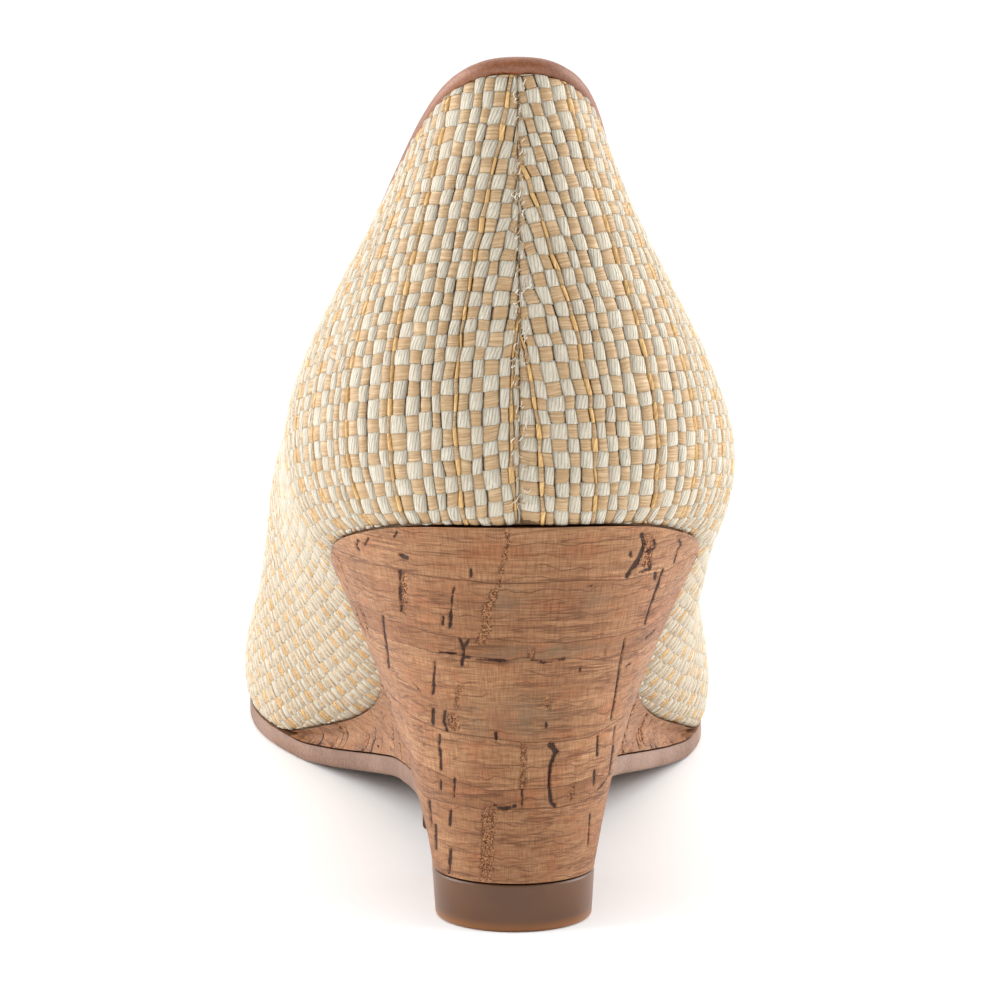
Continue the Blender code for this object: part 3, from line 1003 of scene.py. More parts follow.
@dataclass
class WovenUpper:
    """The upper: a hollow shell of backing and lining under a plain weave of raised floats."""

    last: Last
    pattern: FlatPattern
    wall: float = 2.0
    backing_depth: float = 0.55
    shell_columns: int = 220
    shell_rows: int = 26
    widths: tuple[float, ...] = (2.1, 2.6, 0.55, 1.5, 2.3, 1.45, 2.0, 0.5, 1.6, 1.4, 1.85)
    thread_width: float = 0.9
    row_pitch: float = 2.08
    wander: float = 0.13
    row_spread: float = 0.15
    least_share: float = 0.03
    corner: float = 0.07
    corner_power: float = 3.0
    crown_spread: tuple[float, float] = (0.75, 1.25)
    lap: float = 0.08
    lap_spread: tuple[float, float] = (0.5, 1.3)
    margin: float = 2.0
    inside: float = 1e-4
    tuck: float = 0.28
    tuck_from: float = 0.03
    tuck_in: float = 0.7
    tuck_in_from: float = 0.05
    seam_depth: float = 0.7
    seam_width: float = 0.75
    frays: int = 190
    fray_reach: float = 0.05
    fray_span: tuple[float, float] = (0.03, 0.985)
    fray_lift: float = 0.1
    fray_turns: tuple[tuple[float, float], ...] = ((-0.9, 0.9), (-0.5, 0.5), (-0.4, 1.3))
    fray_size: tuple[float, float] = (0.5, 1.25)
    fray_thickness: float = 0.06
    # Where a loose thread starts, what it bends towards and where it ends
    fray_bend: tuple[tuple[float, float, float], ...] = ((0.0, 0.3, 0.0), (0.1, -0.9, 0.2), (0.5, -0.2, 0.9))
    seed: int = 7
    # After the sheen, each finish gives the colour kept at a float's sides and at its ends: painted shade
    finishes: dict[Yarn, YarnFinish] = field(default_factory=lambda: {
        Yarn.COTTON: YarnFinish("cotton_yarn", rgb(221, 213, 195), rgb(172, 160, 139), rgb(206, 195, 174),
                                3.3, 0.2, 0.3, 0.16, 0.85, 0.15, 0.8, 0.97, 0.6),
        Yarn.RIBBON: YarnFinish("straw_ribbon", rgb(203, 173, 134), rgb(171, 139, 99), rgb(178, 143, 100),
                                6.0, 0.0, 0.04, 0.06, 0.5, 0.0, 0.95, 0.72),
        Yarn.GOLD: YarnFinish("gold_thread", rgb(236, 196, 132), rgb(200, 154, 92), rgb(214, 174, 114),
                              6.0, 0.35, 0.12, 0.06, 0.4, 0.0, 0.8, 0.85),
    })
    # Millimetres of crown and of sink at sides and ends, how flat the top is, and how far its
    # shoulders move out
    shapes: dict[Yarn, tuple[float, ...]] = field(default_factory=lambda: {
        Yarn.COTTON: (0.28, 0.30, 0.05, 3.4, 7.0, 0.10, 0.15),
        Yarn.RIBBON: (0.17, 0.0, 0.30, 8.0, 3.4, 0.17, 0.10),
        Yarn.GOLD: (0.20, 0.28, 0.10, 2.8, 4.0, 0.08, 0.10),
    })
    # Shares by which a float's sides are drawn in, or swell out where less than 0
    squeezes: dict[Yarn, tuple[float, float]] = field(default_factory=lambda: {
        Yarn.COTTON: (-0.11, 0.04), Yarn.RIBBON: (-0.04, 0.06), Yarn.GOLD: (-0.07, 0.04),
    })

    def build(self) -> None:
        """Make the shell, the floats of every yarn and the loose threads."""
        add_piece("upper_shell", self.shell(), "upper")
        tree = self.float_tree()
        for yarn, mesh in self.cells().items():
            values = dict(zip(FLOAT_SIZES, self.shapes[yarn]))
            values["Corner"] = -0.5 * self.corner
            for label in FLOAT_SIZES[:3]:
                values[label] *= MM
            values["Material"] = self.finishes[yarn].material()
            name = f"upper_{yarn.value}_floats"
            add_piece(name, grown(name, mesh, tree, values))
        self.fray()

    def groove(self, u: Array, v: Array) -> Array:
        """How far the cloth dips into the back seam at places of the wall.

        Args:
            u: Places round the last.
            v: Places up the wall.

        Returns:
            One depth for each place.
        """
        low, high = (np.linalg.norm(loop.tangents[0, :2]) for loop in (self.last.foot, self.last.top))
        reach = np.minimum(u, self.last.round - u) * (low + v * (high - low))
        return self.seam_depth * np.exp(-((reach / self.seam_width) ** 2))

    def shell(self) -> Mesh:
        """Backing cloth outside and lining inside, closed at the topline and the feather edge.

        Returns:
            The mesh, with a slot for each of the two.
        """
        places = np.linspace(0.0, self.last.round, self.shell_columns, endpoint=False)
        levels = np.linspace(0.0, 1.0, self.shell_rows)
        rings = []
        for depth, order in ((self.backing_depth, levels), (self.wall, levels[::-1])):
            for v in order:
                high = np.full(len(places), v)
                points = self.last.wall(places, high)
                inward = depth + self.groove(places, high) * (depth < self.wall)
                rings.append(points - inward[:, None] * self.last.wall_normal(places, high))
        count, turns = len(places), len(rings)
        k = np.arange(count)
        faces = []
        for r in range(turns):
            low, high = r * count, (r + 1) % turns * count
            faces.append(np.column_stack((low + k, low + (k + 1) % count, high + (k + 1) % count, high + k)))
        # The backing is a real layer, but its dark brown is painted shade that shows through the gaps between
        # the floats
        backing = LeatherFinish("backing_cloth_painted_shade", rgb(142, 112, 80), rgb(112, 84, 58), 1800.0, 0.06, 0.9)
        lining = LeatherFinish("lining_leather", rgb(196, 156, 116), rgb(176, 136, 98), 1500.0, 0.03, 0.6)
        mesh = mesh_from("upper_shell", self.last.placed(np.concatenate(rings)), np.concatenate(faces),
                         (backing.material(), lining.material()))
        inside = np.repeat(np.arange(turns) >= self.shell_rows - 1, count).astype(np.int32)
        mesh.polygons.foreach_set("material_index", inside)
        return mesh

    def _lines(self, low: float, high: float, widths: Iterable[float], draw: np.random.Generator) -> Array:
        """Places of the yarns' edges from one end of the cloth to the other.

        Args:
            low: Where the cloth starts.
            high: Where it ends.
            widths: The yarns' widths, taken in turn.
            draw: Makes the widths uneven.

        Returns:
            The places in order.
        """
        places = [low]
        repeat = list(widths)
        while places[-1] < high:
            width = repeat[(len(places) - 1) % len(repeat)]
            places.append(places[-1] + width * (1.0 + self.row_spread * draw.uniform(-1.0, 1.0)))
        return np.array(places)

    def cells(self) -> dict[Yarn, Mesh]:
        """Lay the weave straight on the flat pattern and carry each crossing to the last.

        Returns:
            A mesh of loose flat cells for each yarn, with the places that shape and dress a float.
        """
        draw = np.random.default_rng(self.seed)
        low, high = self.pattern.flat.min(axis=0) - self.margin, self.pattern.flat.max(axis=0) + self.margin
        columns = self._lines(low[1], high[1], self.widths, draw)
        rows = self._lines(low[0], high[0], (self.row_pitch,), draw)
        a, b = np.meshgrid(rows, columns, indexing="ij")
        flat = np.column_stack((a.ravel(), b.ravel()))
        flat += draw.normal(0.0, self.wander, flat.shape)
        corners = grid_cells(a.shape)
        j, i = (grid.ravel() for grid in np.indices((len(rows) - 1, len(columns) - 1)))
        tone = draw.uniform(0.0, 1.0, len(corners))
        thin = np.diff(columns)[i] < self.thread_width
        warp = (i + j) % 2 == 0
        chosen = {Yarn.COTTON: warp & ~thin, Yarn.RIBBON: ~warp, Yarn.GOLD: warp & thin}
        found = {yarn: [] for yarn in Yarn}
        for side in Side:
            uv, kept, moved = self.pattern.read(flat, side)
            out = self.last.wall_normal(*uv.T)
            points = self.last.wall(*uv.T) - out * self.groove(*uv.T)[:, None]
            points[:, 2] -= self.tuck * smoothstep(self.tuck_from, 0.0, uv[:, 1])
            points -= out * (self.tuck_in * smoothstep(self.tuck_in_from, 0.0, uv[:, 1]) ** 2)[:, None]
            whole, cut = (self._areas(places[corners]) for places in (flat, kept))
            own = side.value * (self.last.toe - uv[corners, 0].mean(axis=1)) >= 0.0
            held = own & (moved[corners] < self.inside).any(axis=1) & (cut > self.least_share * whole)
            for yarn, mask in chosen.items():
                picked = corners[held & mask]
                found[yarn].append((points[picked], out[picked], tone[held & mask]))
        return {yarn: self._cell_mesh(yarn, *(np.concatenate(part) for part in zip(*parts)))
                for yarn, parts in found.items()}

    @staticmethod
    def _areas(quads: Array) -> Array:
        """Areas of flat quads."""
        return 0.5 * np.abs(cross(quads[:, 2] - quads[:, 0], quads[:, 3] - quads[:, 1]))

    def _cell_mesh(self, yarn: Yarn, quads: Array, out: Array, tone: Array) -> Mesh:
        """Loose quads with the places that a float needs.

        Args:
            yarn: The yarn that lies on top in these cells.
            quads: The crossings round each cell: along the warp, then along the weft.
            out: Outward directions there.
            tone: A number between 0 and 1 for each cell.

        Returns:
            The mesh.
        """
        along_warp = 0.5 * (quads[:, 1] - quads[:, 0] + quads[:, 2] - quads[:, 3])
        along_weft = 0.5 * (quads[:, 3] - quads[:, 0] + quads[:, 2] - quads[:, 1])
        on_warp, on_weft = np.array((0.0, 1.0, 1.0, 0.0)), np.array((0.0, 0.0, 1.0, 1.0))
        if yarn is Yarn.RIBBON:
            spans, shares = (along_warp, along_weft), (on_warp, on_weft)
        else:
            spans, shares = (along_weft, along_warp), (on_weft, on_warp)
        count = len(quads)
        draw = np.random.default_rng(self.seed + count)
        for edge in (0.0, 1.0):
            pull = draw.uniform(*self.squeezes[yarn], count)[:, None] * along_weft
            quads = quads + ((1.0 - 2.0 * edge) * pull)[:, None, :] * (on_weft == edge)[None, :, None]
            if yarn is not Yarn.RIBBON:
                over = self.lap * draw.uniform(*self.lap_spread, count)[:, None] * along_warp
                quads = quads - ((1.0 - 2.0 * edge) * over)[:, None, :] * (on_warp == edge)[None, :, None]
        mesh = bpy.data.meshes.new(yarn.value)
        points, faces = self.last.placed(quads.reshape(-1, 3)), np.arange(4 * count).reshape(-1, 4)
        mesh.from_pydata(points.tolist(), [], faces.tolist())
        cell = np.column_stack([np.tile(share, count) for share in shares] + [np.repeat(tone, 4)])
        sizes = np.column_stack([np.repeat(np.linalg.norm(span, axis=1), 4) for span in spans])
        store(mesh, "cell", cell)
        store(mesh, "yarn", np.column_stack(((cell[:, :2] - 0.5) * sizes, cell[:, 2])))
        for way, span in zip(("across", "along"), spans):
            store(mesh, f"span_{way}", np.repeat(span, 4, axis=0) * MM)
        store(mesh, "out", out.reshape(-1, 3))
        return mesh

    def float_tree(self) -> Tree:
        """Geometry Nodes that swell each flat cell into a float that dives at its ends.

        Returns:
            The tree.
        """
        graph, given = geometry_tree("raised_floats", *FLOAT_SIZES, "Corner")
        cell = graph.parts(graph.kept("cell"))
        moves, middles = [], []
        for axis, way in enumerate(("Across", "Along")):
            wave = graph.math("SINE", graph.times(cell[axis], math.tau))
            moves.append(graph.times(wave, graph.times(given[f"{way} Shoulder"], -1.0)))
            middles.append(graph.math("MULTIPLY_ADD", graph.math("ADD", cell[axis], moves[-1]), 2.0, -1.0))
        outer = graph.math("POWER", graph.math("ABSOLUTE", graph.times(*middles)), self.corner_power)
        rounding = graph.times(outer, given["Corner"])
        offset, fall, sunk = None, None, None
        for way, move, middle in zip(("Across", "Along"), moves, middles):
            share = graph.math("MULTIPLY_ADD", middle, rounding, move)
            shift = graph.scaled(graph.kept(f"span_{way.lower()}"), share)
            steep = graph.math("POWER", graph.math("ABSOLUTE", middle), given[f"{way} Power"])
            swell = graph.math("SUBTRACT", 1.0, steep)
            dip = graph.times(steep, given[f"{way} Sink"])
            offset = shift if offset is None else graph.joined(offset, shift)
            fall = swell if fall is None else graph.times(fall, swell)
            sunk = dip if sunk is None else graph.math("MAXIMUM", sunk, dip)
        least, most = self.crown_spread
        crown = graph.times(given["Crown"], graph.math("MULTIPLY_ADD", cell[2], most - least, least))
        height = graph.math("SUBTRACT", graph.times(fall, crown), sunk)
        offset = graph.joined(offset, graph.scaled(graph.kept("out"), height))
        fine = graph.out("GeometryNodeSubdivideMesh", {"Mesh": given["Geometry"], "Level": 2})
        moved = graph.out("GeometryNodeSetPosition", {"Geometry": fine, "Offset": offset})
        end_tree(graph, moved, given["Material"])
        return graph.tree

    def fray(self) -> None:
        """Loose thread ends along the back seam."""
        draw = np.random.default_rng(self.seed)
        side = draw.choice((-1.0, 1.0), self.frays)
        u = side * draw.uniform(0.0, self.fray_reach, self.frays)
        v = draw.uniform(*self.fray_span, self.frays)
        out = self.last.wall_normal(u, v)
        places = self.last.wall(u, v) + out * (self.fray_lift - self.groove(u % self.last.round, v))[:, None]
        turns = np.column_stack([draw.uniform(*turn, self.frays) for turn in self.fray_turns])
        turns[:, 2] *= side
        kept = {"turn": turns, "size": draw.uniform(*self.fray_size, self.frays) * MM}
        material = two_tone("frayed_thread", (rgb(190, 156, 112), rgb(232, 226, 212)), 700.0, 0.1, 0.9)
        sizes = {"Thickness": self.fray_thickness}
        points = self.last.placed(places)
        strew("upper_seam_fray", points, kept, self._thread, sizes, material)

    def _thread(self, graph: Graph, given: dict[str, Socket]) -> tuple[Socket, Socket, Sequence[object]]:
        """A short bent thread, turned as its point says, and its proportions.

        Args:
            graph: The graph that it is added to.
            given: The graph's inputs by name.

        Returns:
            The thread, its turn and its proportions.
        """
        ends = dict(zip(("Start", "Middle", "End"), self.fray_bend))
        bend = graph.out("GeometryNodeCurveQuadraticBezier", {"Resolution": 5, **ends})
        ring = graph.out("GeometryNodeCurvePrimitiveCircle", {"Resolution": 4, "Radius": given["Thickness"]})
        swept = {"Curve": bend, "Profile Curve": ring, "Fill Caps": True}
        return graph.out("GeometryNodeCurveToMesh", swept), graph.kept("turn"), (1.0, 1.0, 1.0)


@dataclass
class ToplineBinding:
    """The rolled leather bead on the upper's top edge."""

    last: Last
    radius: float = 1.25
    seat: float = 1.2
    inset: float = 0.85
    wrinkle: float = 0.1
    places: int = 420
    finish: LeatherFinish = LeatherFinish("binding_leather", rgb(146, 88, 52), rgb(120, 68, 38),
                                          1300.0, 0.015, 0.42, 0.12)

    def build(self) -> None:
        """Sweep the bead round the topline."""
        u = np.linspace(0.0, self.last.round, self.places, endpoint=False)
        _, _, below, edge = self.last.handles(u)
        up = unit(edge - below)
        out = unit(np.cross(np.roll(edge, -1, axis=0) - np.roll(edge, 1, axis=0), up))
        middle = edge - self.inset * out + self.seat * up
        path = bpy.data.meshes.new("topline_path")
        k = np.arange(self.places)
        edges = np.column_stack((k, (k + 1) % self.places))
        path.from_pydata(self.last.placed(middle).tolist(), edges.tolist(), [])
        values = {"Radius": self.radius * MM, "Wrinkle": self.wrinkle * MM}
        values["Material"] = self.finish.material()
        mesh = grown("topline_bead", path, self.bead_tree(), values)
        add_piece("topline_bead", mesh, "topline_binding")

    @staticmethod
    def bead_tree() -> Tree:
        """Geometry Nodes that sweep a round bead along a path and crease it a little.

        Returns:
            The tree.
        """
        graph, given = geometry_tree("rolled_bead", "Radius", "Wrinkle")
        path = graph.out("GeometryNodeMeshToCurve", {0: given["Geometry"]})
        ring = graph.out("GeometryNodeCurvePrimitiveCircle", {"Resolution": 16, "Radius": given["Radius"]})
        swept = graph.out("GeometryNodeCurveToMesh", {"Curve": path, "Profile Curve": ring})
        place = graph.out("GeometryNodeInputPosition")
        cloud = graph.out("ShaderNodeTexNoise", {"Vector": place, "Scale": 380.0, "Detail": 1.0})
        height = graph.times(graph.math("SUBTRACT", cloud, 0.5), given["Wrinkle"])
        offset = graph.scaled(graph.out("GeometryNodeInputNormal"), height)
        moved = graph.out("GeometryNodeSetPosition", {"Geometry": swept, "Offset": offset})
        end_tree(graph, moved, given["Material"])
        return graph.tree


@dataclass
class SolePlan:
    """Plan sizes that the wedge, outsole and heel lift share."""

    last: Last
    lift_height: float = 6.6
    lift_half_width: float = 11.2
    lift_back: float = 4.0
    lift_round: float = 12.0
    breast: float = 38.5
    wedge_front: float = 129.0
    narrow_from: float = 43.5
    narrow_to: float = 95.5
    arch_half_width: float = 12.3

    def lift_half(self, y: Array) -> Array:
        """Half width of the heel lift."""
        share = np.clip((y - self.lift_back) / self.lift_round, 0.0, 1.0)
        return self.lift_half_width * np.sqrt(1.0 - (1.0 - share) ** 2)

    def sole_edge(self, u: Array, inset: float = 0.0) -> Array:
        """Plan of the outsole's edge at places round the last.

        Args:
            u: Places round the last.
            inset: How far the edge is moved inwards.

        Returns:
            One place a row.
        """
        edge = self.last.outline(u, inset)
        share = smoothstep(self.narrow_from, self.narrow_to, self.last.foot.at(u)[:, 1])[:, None]
        way = np.where(u <= self.last.toe, 1.0, -1.0)
        narrow = np.column_stack((way * (self.arch_half_width - inset), edge[:, 1]))
        return narrow + share * (edge - narrow)


@dataclass(frozen=True)
class Viewpoint:
    """Where the photo was taken from, in millimetres and degrees, and its width in pixels."""

    distance: float = 495.8
    height: float = 123.9
    aside: float = -2.45
    pitch: float = 7.4
    yaw: float = 2.0
    lens: float = 134.2
    film: float = 36.0
    picture: float = 1000.0
    heel_back: float = 4.0

    @property
    def place(self) -> Array:
        """Where the camera stands.

        Returns:
            Its place on the last, in millimetres.
        """
        turn, back = math.radians(self.yaw), self.heel_back - self.distance
        return np.array((self.aside * math.cos(turn) + back * math.sin(turn),
                         back * math.cos(turn) - self.aside * math.sin(turn), self.height))

    @property
    def scale(self) -> float:
        """Pixels to a millimetre at the back of the heel."""
        return self.picture * self.lens / self.film / self.distance

    def seen(self, points: Array) -> Array:
        """Picture places of points, in pixels from the upper left corner.

        Args:
            points: Points on the last.

        Returns:
            One place a row, across and down.
        """
        turn, tilt = math.radians(self.yaw), math.radians(self.pitch)
        right = np.array((math.cos(turn), -math.sin(turn), 0.0))
        ahead = np.array((math.sin(turn) * math.cos(tilt), math.cos(turn) * math.cos(tilt), -math.sin(tilt)))
        away = points - self.place
        flat = np.column_stack((away @ right, -(away @ np.cross(right, ahead)))) / (away @ ahead)[:, None]
        return 0.5 * self.picture + flat * self.picture * self.lens / self.film


class MarkKind(Enum):
    """Marks in the cork's face."""

    CRACK = "crack"
    ROUGH = "rough"


@dataclass(frozen=True)
class Mark:
    """A mark of some width, in millimetres, along a trail of places."""

    width: float
    trail: Sequence[Sequence[float]]

    def depth(self, places: Array) -> Array:
        """How far inside the mark each place lies, less than 0 outside.

        Args:
            places: Flat places, on the same axes as the trail.

        Returns:
            One depth for each place.
        """
        nearest = np.full(len(places), np.inf)
        for start, end in zip(self.trail[:-1], self.trail[1:]):
            start, span = np.array(start), np.subtract(end, start)
            share = np.clip((places - start) @ span / max(span @ span, MARK_STEP), 0.0, 1.0)
            nearest = np.minimum(nearest, np.linalg.norm(places - start - share[:, None] * span, axis=1))
        return MARK_HALF * self.width - nearest


# Trails read in the photo, in its pixels, by the part of the heel's back they lie in
SEEN_MARKS = {
    MarkKind.CRACK: {
        "upper_left": (
            Mark(0.35, ((352, 591), (363, 622), (375, 656), (384, 686))),
            Mark(0.5, ((358, 540), (356, 546), (359, 550))), Mark(0.5, ((368, 538), (365, 545))),
            Mark(0.4, ((397, 532), (394, 537))), Mark(0.8, ((400, 555), (407, 558))),
            Mark(0.45, ((400, 571), (400, 590), (401, 611))),
            Mark(0.4, ((383, 616), (384, 629), (387, 648), (389, 668))),
        ),
        "upper_middle": (
            Mark(0.4, ((454, 588), (452, 598), (451, 612), (450, 627))),
            Mark(0.7, ((451, 613), (450, 626))), Mark(0.5, ((443, 617), (443, 624))),
            Mark(0.5, ((471, 569), (471, 576))), Mark(0.3, ((587, 587), (598, 584))),
        ),
        "upper_right": (
            Mark(1.0, ((642, 535), (645, 545), (640, 557), (627, 576))),
            Mark(0.5, ((654, 540), (655, 548), (648, 552))),
            Mark(0.45, ((650, 562), (650, 569), (640, 572))), Mark(0.6, ((630, 553), (631, 556))),
            Mark(0.4, ((679, 540), (681, 545), (678, 549), (674, 563))),
            Mark(0.55, ((663, 570), (657, 587), (650, 608), (645, 624))),
            Mark(0.6, ((655, 573), (655, 579))), Mark(0.4, ((654, 631), (645, 639))),
        ),
        "middle_left": (
            Mark(0.6, ((460, 640), (463, 646), (464, 651), (462, 665))),
            Mark(0.45, ((469, 640), (464, 648))), Mark(0.55, ((440, 652), (456, 654))),
            Mark(0.5, ((464, 656), (475, 659), (491, 660), (508, 661))),
            Mark(0.3, ((434, 661), (435, 665), (434, 681), (433, 694))),
            Mark(0.6, ((434, 684), (433, 693))), Mark(0.25, ((412, 682), (420, 691))),
        ),
        "middle_right": (
            Mark(0.4, ((525, 659), (544, 662), (564, 659))), Mark(0.4, ((605, 650), (605, 655))),
            Mark(0.4, ((625, 638), (622, 654), (619, 671), (614, 703), (611, 719))),
            Mark(0.3, ((631, 663), (626, 667))), Mark(0.3, ((580, 668), (580, 672))),
            Mark(0.4, ((546, 723), (546, 727))),
        ),
        "lower_left": (
            Mark(0.65, ((433, 709), (433, 725))), Mark(0.5, ((445, 712), (444, 722), (447, 731))),
            Mark(0.5, ((496, 733), (496, 740))), Mark(0.4, ((440, 735), (439, 746))),
            Mark(0.5, ((440, 749), (441, 770))), Mark(0.4, ((441, 781), (441, 790))),
            Mark(0.35, ((455, 778), (454, 797))), Mark(0.5, ((429, 800), (430, 811), (431, 825))),
            Mark(0.5, ((451, 810), (450, 825))), Mark(0.4, ((436, 825), (436, 849))),
            Mark(0.5, ((451, 849), (449, 873))),
        ),
        "lower_right": (
            Mark(0.7, ((553, 744), (555, 754), (550, 766), (549, 786), (551, 802), (555, 806))),
            Mark(1.0, ((550, 745), (556, 752))), Mark(0.5, ((598, 736), (597, 755))),
            Mark(0.4, ((615, 727), (612, 754), (609, 776), (598, 790))),
            Mark(0.4, ((594, 770), (594, 786))), Mark(0.6, ((494, 805), (504, 809), (515, 806))),
            Mark(0.3, ((590, 814), (588, 846))), Mark(0.25, ((522, 788), (522, 810))),
        ),
    },
    MarkKind.ROUGH: {
        "upper": (
            Mark(1.2, ((404, 573), (404, 611))),
            Mark(0.8, ((506, 530), (508, 544), (504, 560), (501, 574), (499, 585))),
            Mark(1.7, ((494, 593), (486, 612), (487, 629), (481, 641))),
            Mark(1.8, ((648, 538), (647, 565))),
        ),
        "middle": (
            Mark(0.8, ((460, 687), (457, 697), (457, 707))), Mark(2.2, ((453, 718), (454, 726))),
            Mark(1.4, ((531, 651), (531, 656))), Mark(1.1, ((548, 698), (548, 706))),
        ),
        "lower": (
            Mark(1.0, ((524, 744), (523, 757), (523, 773), (522, 787))),
            Mark(2.5, ((489, 813), (488, 833), (488, 856), (486, 881))),
            Mark(0.8, ((573, 786), (571, 800))),
        ),
    },
}
# Joints between the cork's strips, from the top down, read in the same way
SEEN_JOINTS = {
    "under_top": (
        (383, 565), (407, 572), (437, 579), (473, 584), (500, 586), (527, 585), (580, 583), (620, 580),
        (662, 570),
    ),
    "third": (
        (383, 616), (415, 627), (444, 637), (463, 641), (500, 642), (527, 646), (567, 646), (594, 640),
        (642, 627), (667, 614),
    ),
    "upper_waist": (
        (400, 640), (440, 652), (475, 659), (508, 662), (525, 659), (544, 662), (564, 659), (594, 660),
        (625, 652),
    ),
    "lower_waist": (
        (400, 704), (424, 722), (453, 733), (496, 741), (524, 745), (559, 743), (591, 736), (623, 714),
    ),
    "over_foot": (
        (417, 760), (440, 773), (464, 784), (489, 792), (520, 792), (547, 790), (566, 786), (591, 776),
        (610, 773),
    ),
    "foot": (
        (429, 795), (459, 803), (486, 810), (524, 810), (559, 807), (591, 797), (612, 782),
    ),
}
# Grey stains: middle, reach across and up, and strength
STAINS = (
    (-1.5, 46.6, 1.6, 1.8, 0.8), (10.7, 45.6, 2.6, 1.6, 0.5), (3.7, 39.2, 9.0, 1.0, 0.7),
    (1.0, 30.5, 5.0, 3.0, 0.6), (-4.9, 29.8, 3.0, 2.4, 0.5), (-1.8, 39.0, 4.0, 0.9, 0.6),
)


@dataclass(frozen=True)
class CorkFinish:
    """Cork's colours, and how strongly its lines and tones show."""

    light: Colour = rgb(188, 140, 98)
    deep: Colour = rgb(150, 100, 62)
    warm: Colour = rgb(176, 108, 66)
    grey: Colour = rgb(122, 98, 74)
    line: Colour = rgb(98, 58, 33)
    dark: Colour = rgb(46, 26, 16)
    crumb: Colour = rgb(206, 150, 106)
    shadow: Colour = rgb(118, 70, 42)
    warm_share: float = 0.6
    band_share: float = 0.26
    fibre_share: float = 0.56
    growth_share: float = 0.8
    joint_share: float = 0.8

    def material(self) -> Material:
        """Strips with growth lines, fine fibre, joints, stains, crumbly streaks and cracks.

        Returns:
            The material.
        """
        material, graph, shader = new_material("cork")
        cork, marks = (graph.painted(name) for name in ("cork", "marks"))
        along, up, strip = graph.parts(cork)
        crack, rough, stain = graph.parts(marks)
        number = graph.math("FLOOR", strip)

        def cloud(across: float, high: float, detail: float = 2.0) -> Socket:
            """A pattern drawn out across or up, another in every strip."""
            place = graph.vector(graph.times(along, across), graph.times(up, high), graph.times(number, 7.3))
            return graph.noise(place, 1.0, detail, 0.6)

        def ridge(value: Socket, width: float) -> Socket:
            """Thin lines where a pattern crosses its middle."""
            off = graph.math("ABSOLUTE", graph.math("SUBTRACT", value, 0.5))
            return graph.ease(off, 0.0, width, 1.0, 0.0)

        fibre = graph.math("ADD", cloud(5.5, 0.5), cloud(0.5, 5.5))
        fibre = graph.ease(fibre, 0.7, 1.3)
        growth = graph.math("MAXIMUM", ridge(cloud(0.045, 0.55), 0.03), ridge(cloud(0.06, 1.1), 0.04))
        growth = graph.times(growth, graph.ease(cloud(0.1, 0.5), 0.4, 0.6, 0.1, 1.0))
        wavy = graph.math("MULTIPLY_ADD", cloud(0.2, 0.12), 3.2, up)
        rings = ridge(graph.math("FRACT", graph.times(wavy, 0.62)), 0.1)
        growth = graph.math("MAXIMUM", growth, graph.times(rings, graph.ease(cloud(0.12, 0.45), 0.4, 0.58)))
        bands = graph.ease(cloud(0.03, 1.6), 0.35, 0.65)
        tone = graph.add("ShaderNodeTexWhiteNoise", {"W": number}, noise_dimensions="1D").outputs["Value"]
        tone = graph.math("MULTIPLY_ADD", tone, 0.5, graph.ease(cloud(0.12, 0.3, 4.0), 0.3, 0.7, 0.0, 0.5))
        colour = graph.mix(tone, self.deep, self.light)
        warm = graph.ease(cloud(0.22, 0.35, 3.0), 0.48, 0.68, 0.0, self.warm_share)
        colour = graph.mix(warm, colour, self.warm)
        shares = (self.band_share, self.fibre_share, self.growth_share)
        for lines, share in zip((bands, fibre, growth), shares):
            colour = graph.mix(graph.times(lines, share), colour, self.line)
        colour = graph.mix(graph.times(stain, graph.ease(cloud(0.5, 0.5, 4.0), 0.3, 0.6)), colour, self.grey)
        joint = ridge(graph.math("FRACT", graph.math("ADD", strip, 0.5)), 0.016)
        colour = graph.mix(graph.times(joint, self.joint_share), colour, self.line)
        cork_place = graph.vector(along, up)
        ragged = graph.math("SUBTRACT", graph.noise(cork_place, 2.6, 3.0, 0.65), 0.5)
        crumbs = graph.add("ShaderNodeTexVoronoi", {"Vector": cork_place, "Scale": 4.2}).outputs["Distance"]
        crumbled = graph.ease(graph.math("MULTIPLY_ADD", ragged, 1.9, rough), -0.06, 0.2)
        crumb = graph.mix(graph.ease(crumbs, 0.3, 0.75), self.crumb, self.shadow)
        crumb = graph.mix(graph.ease(ragged, 0.02, 0.16, 0.0, 0.85), crumb, self.line)
        colour = graph.mix(graph.times(crumbled, 0.85), colour, crumb)
        frayed = graph.math("SUBTRACT", graph.noise(cork_place, 0.7, 3.0, 0.6), 0.52)
        torn = graph.math("ADD", crack, graph.math("MULTIPLY_ADD", ragged, 0.42, graph.times(frayed, 0.62)))
        split = graph.ease(torn, -0.02, 0.07)
        colour = graph.mix(graph.ease(torn, -0.2, 0.0, 0.0, 0.5), colour, self.shadow)
        colour = graph.mix(graph.times(split, 0.9), colour, self.dark)
        height = graph.times(growth, -0.2)
        for lines, sink in ((fibre, 0.25), (joint, 0.6), (split, 1.5), (graph.times(crumbled, crumbs), 1.6)):
            height = graph.math("MULTIPLY_ADD", lines, -sink, height)
        graph.fill(shader, {
            "Base Color": colour,
            "Roughness": graph.ease(fibre, 0.0, 1.0, 0.55, 0.72),
            "Normal": graph.bump(height, 0.12),
            "Specular IOR Level": 0.35,
        })
        return material


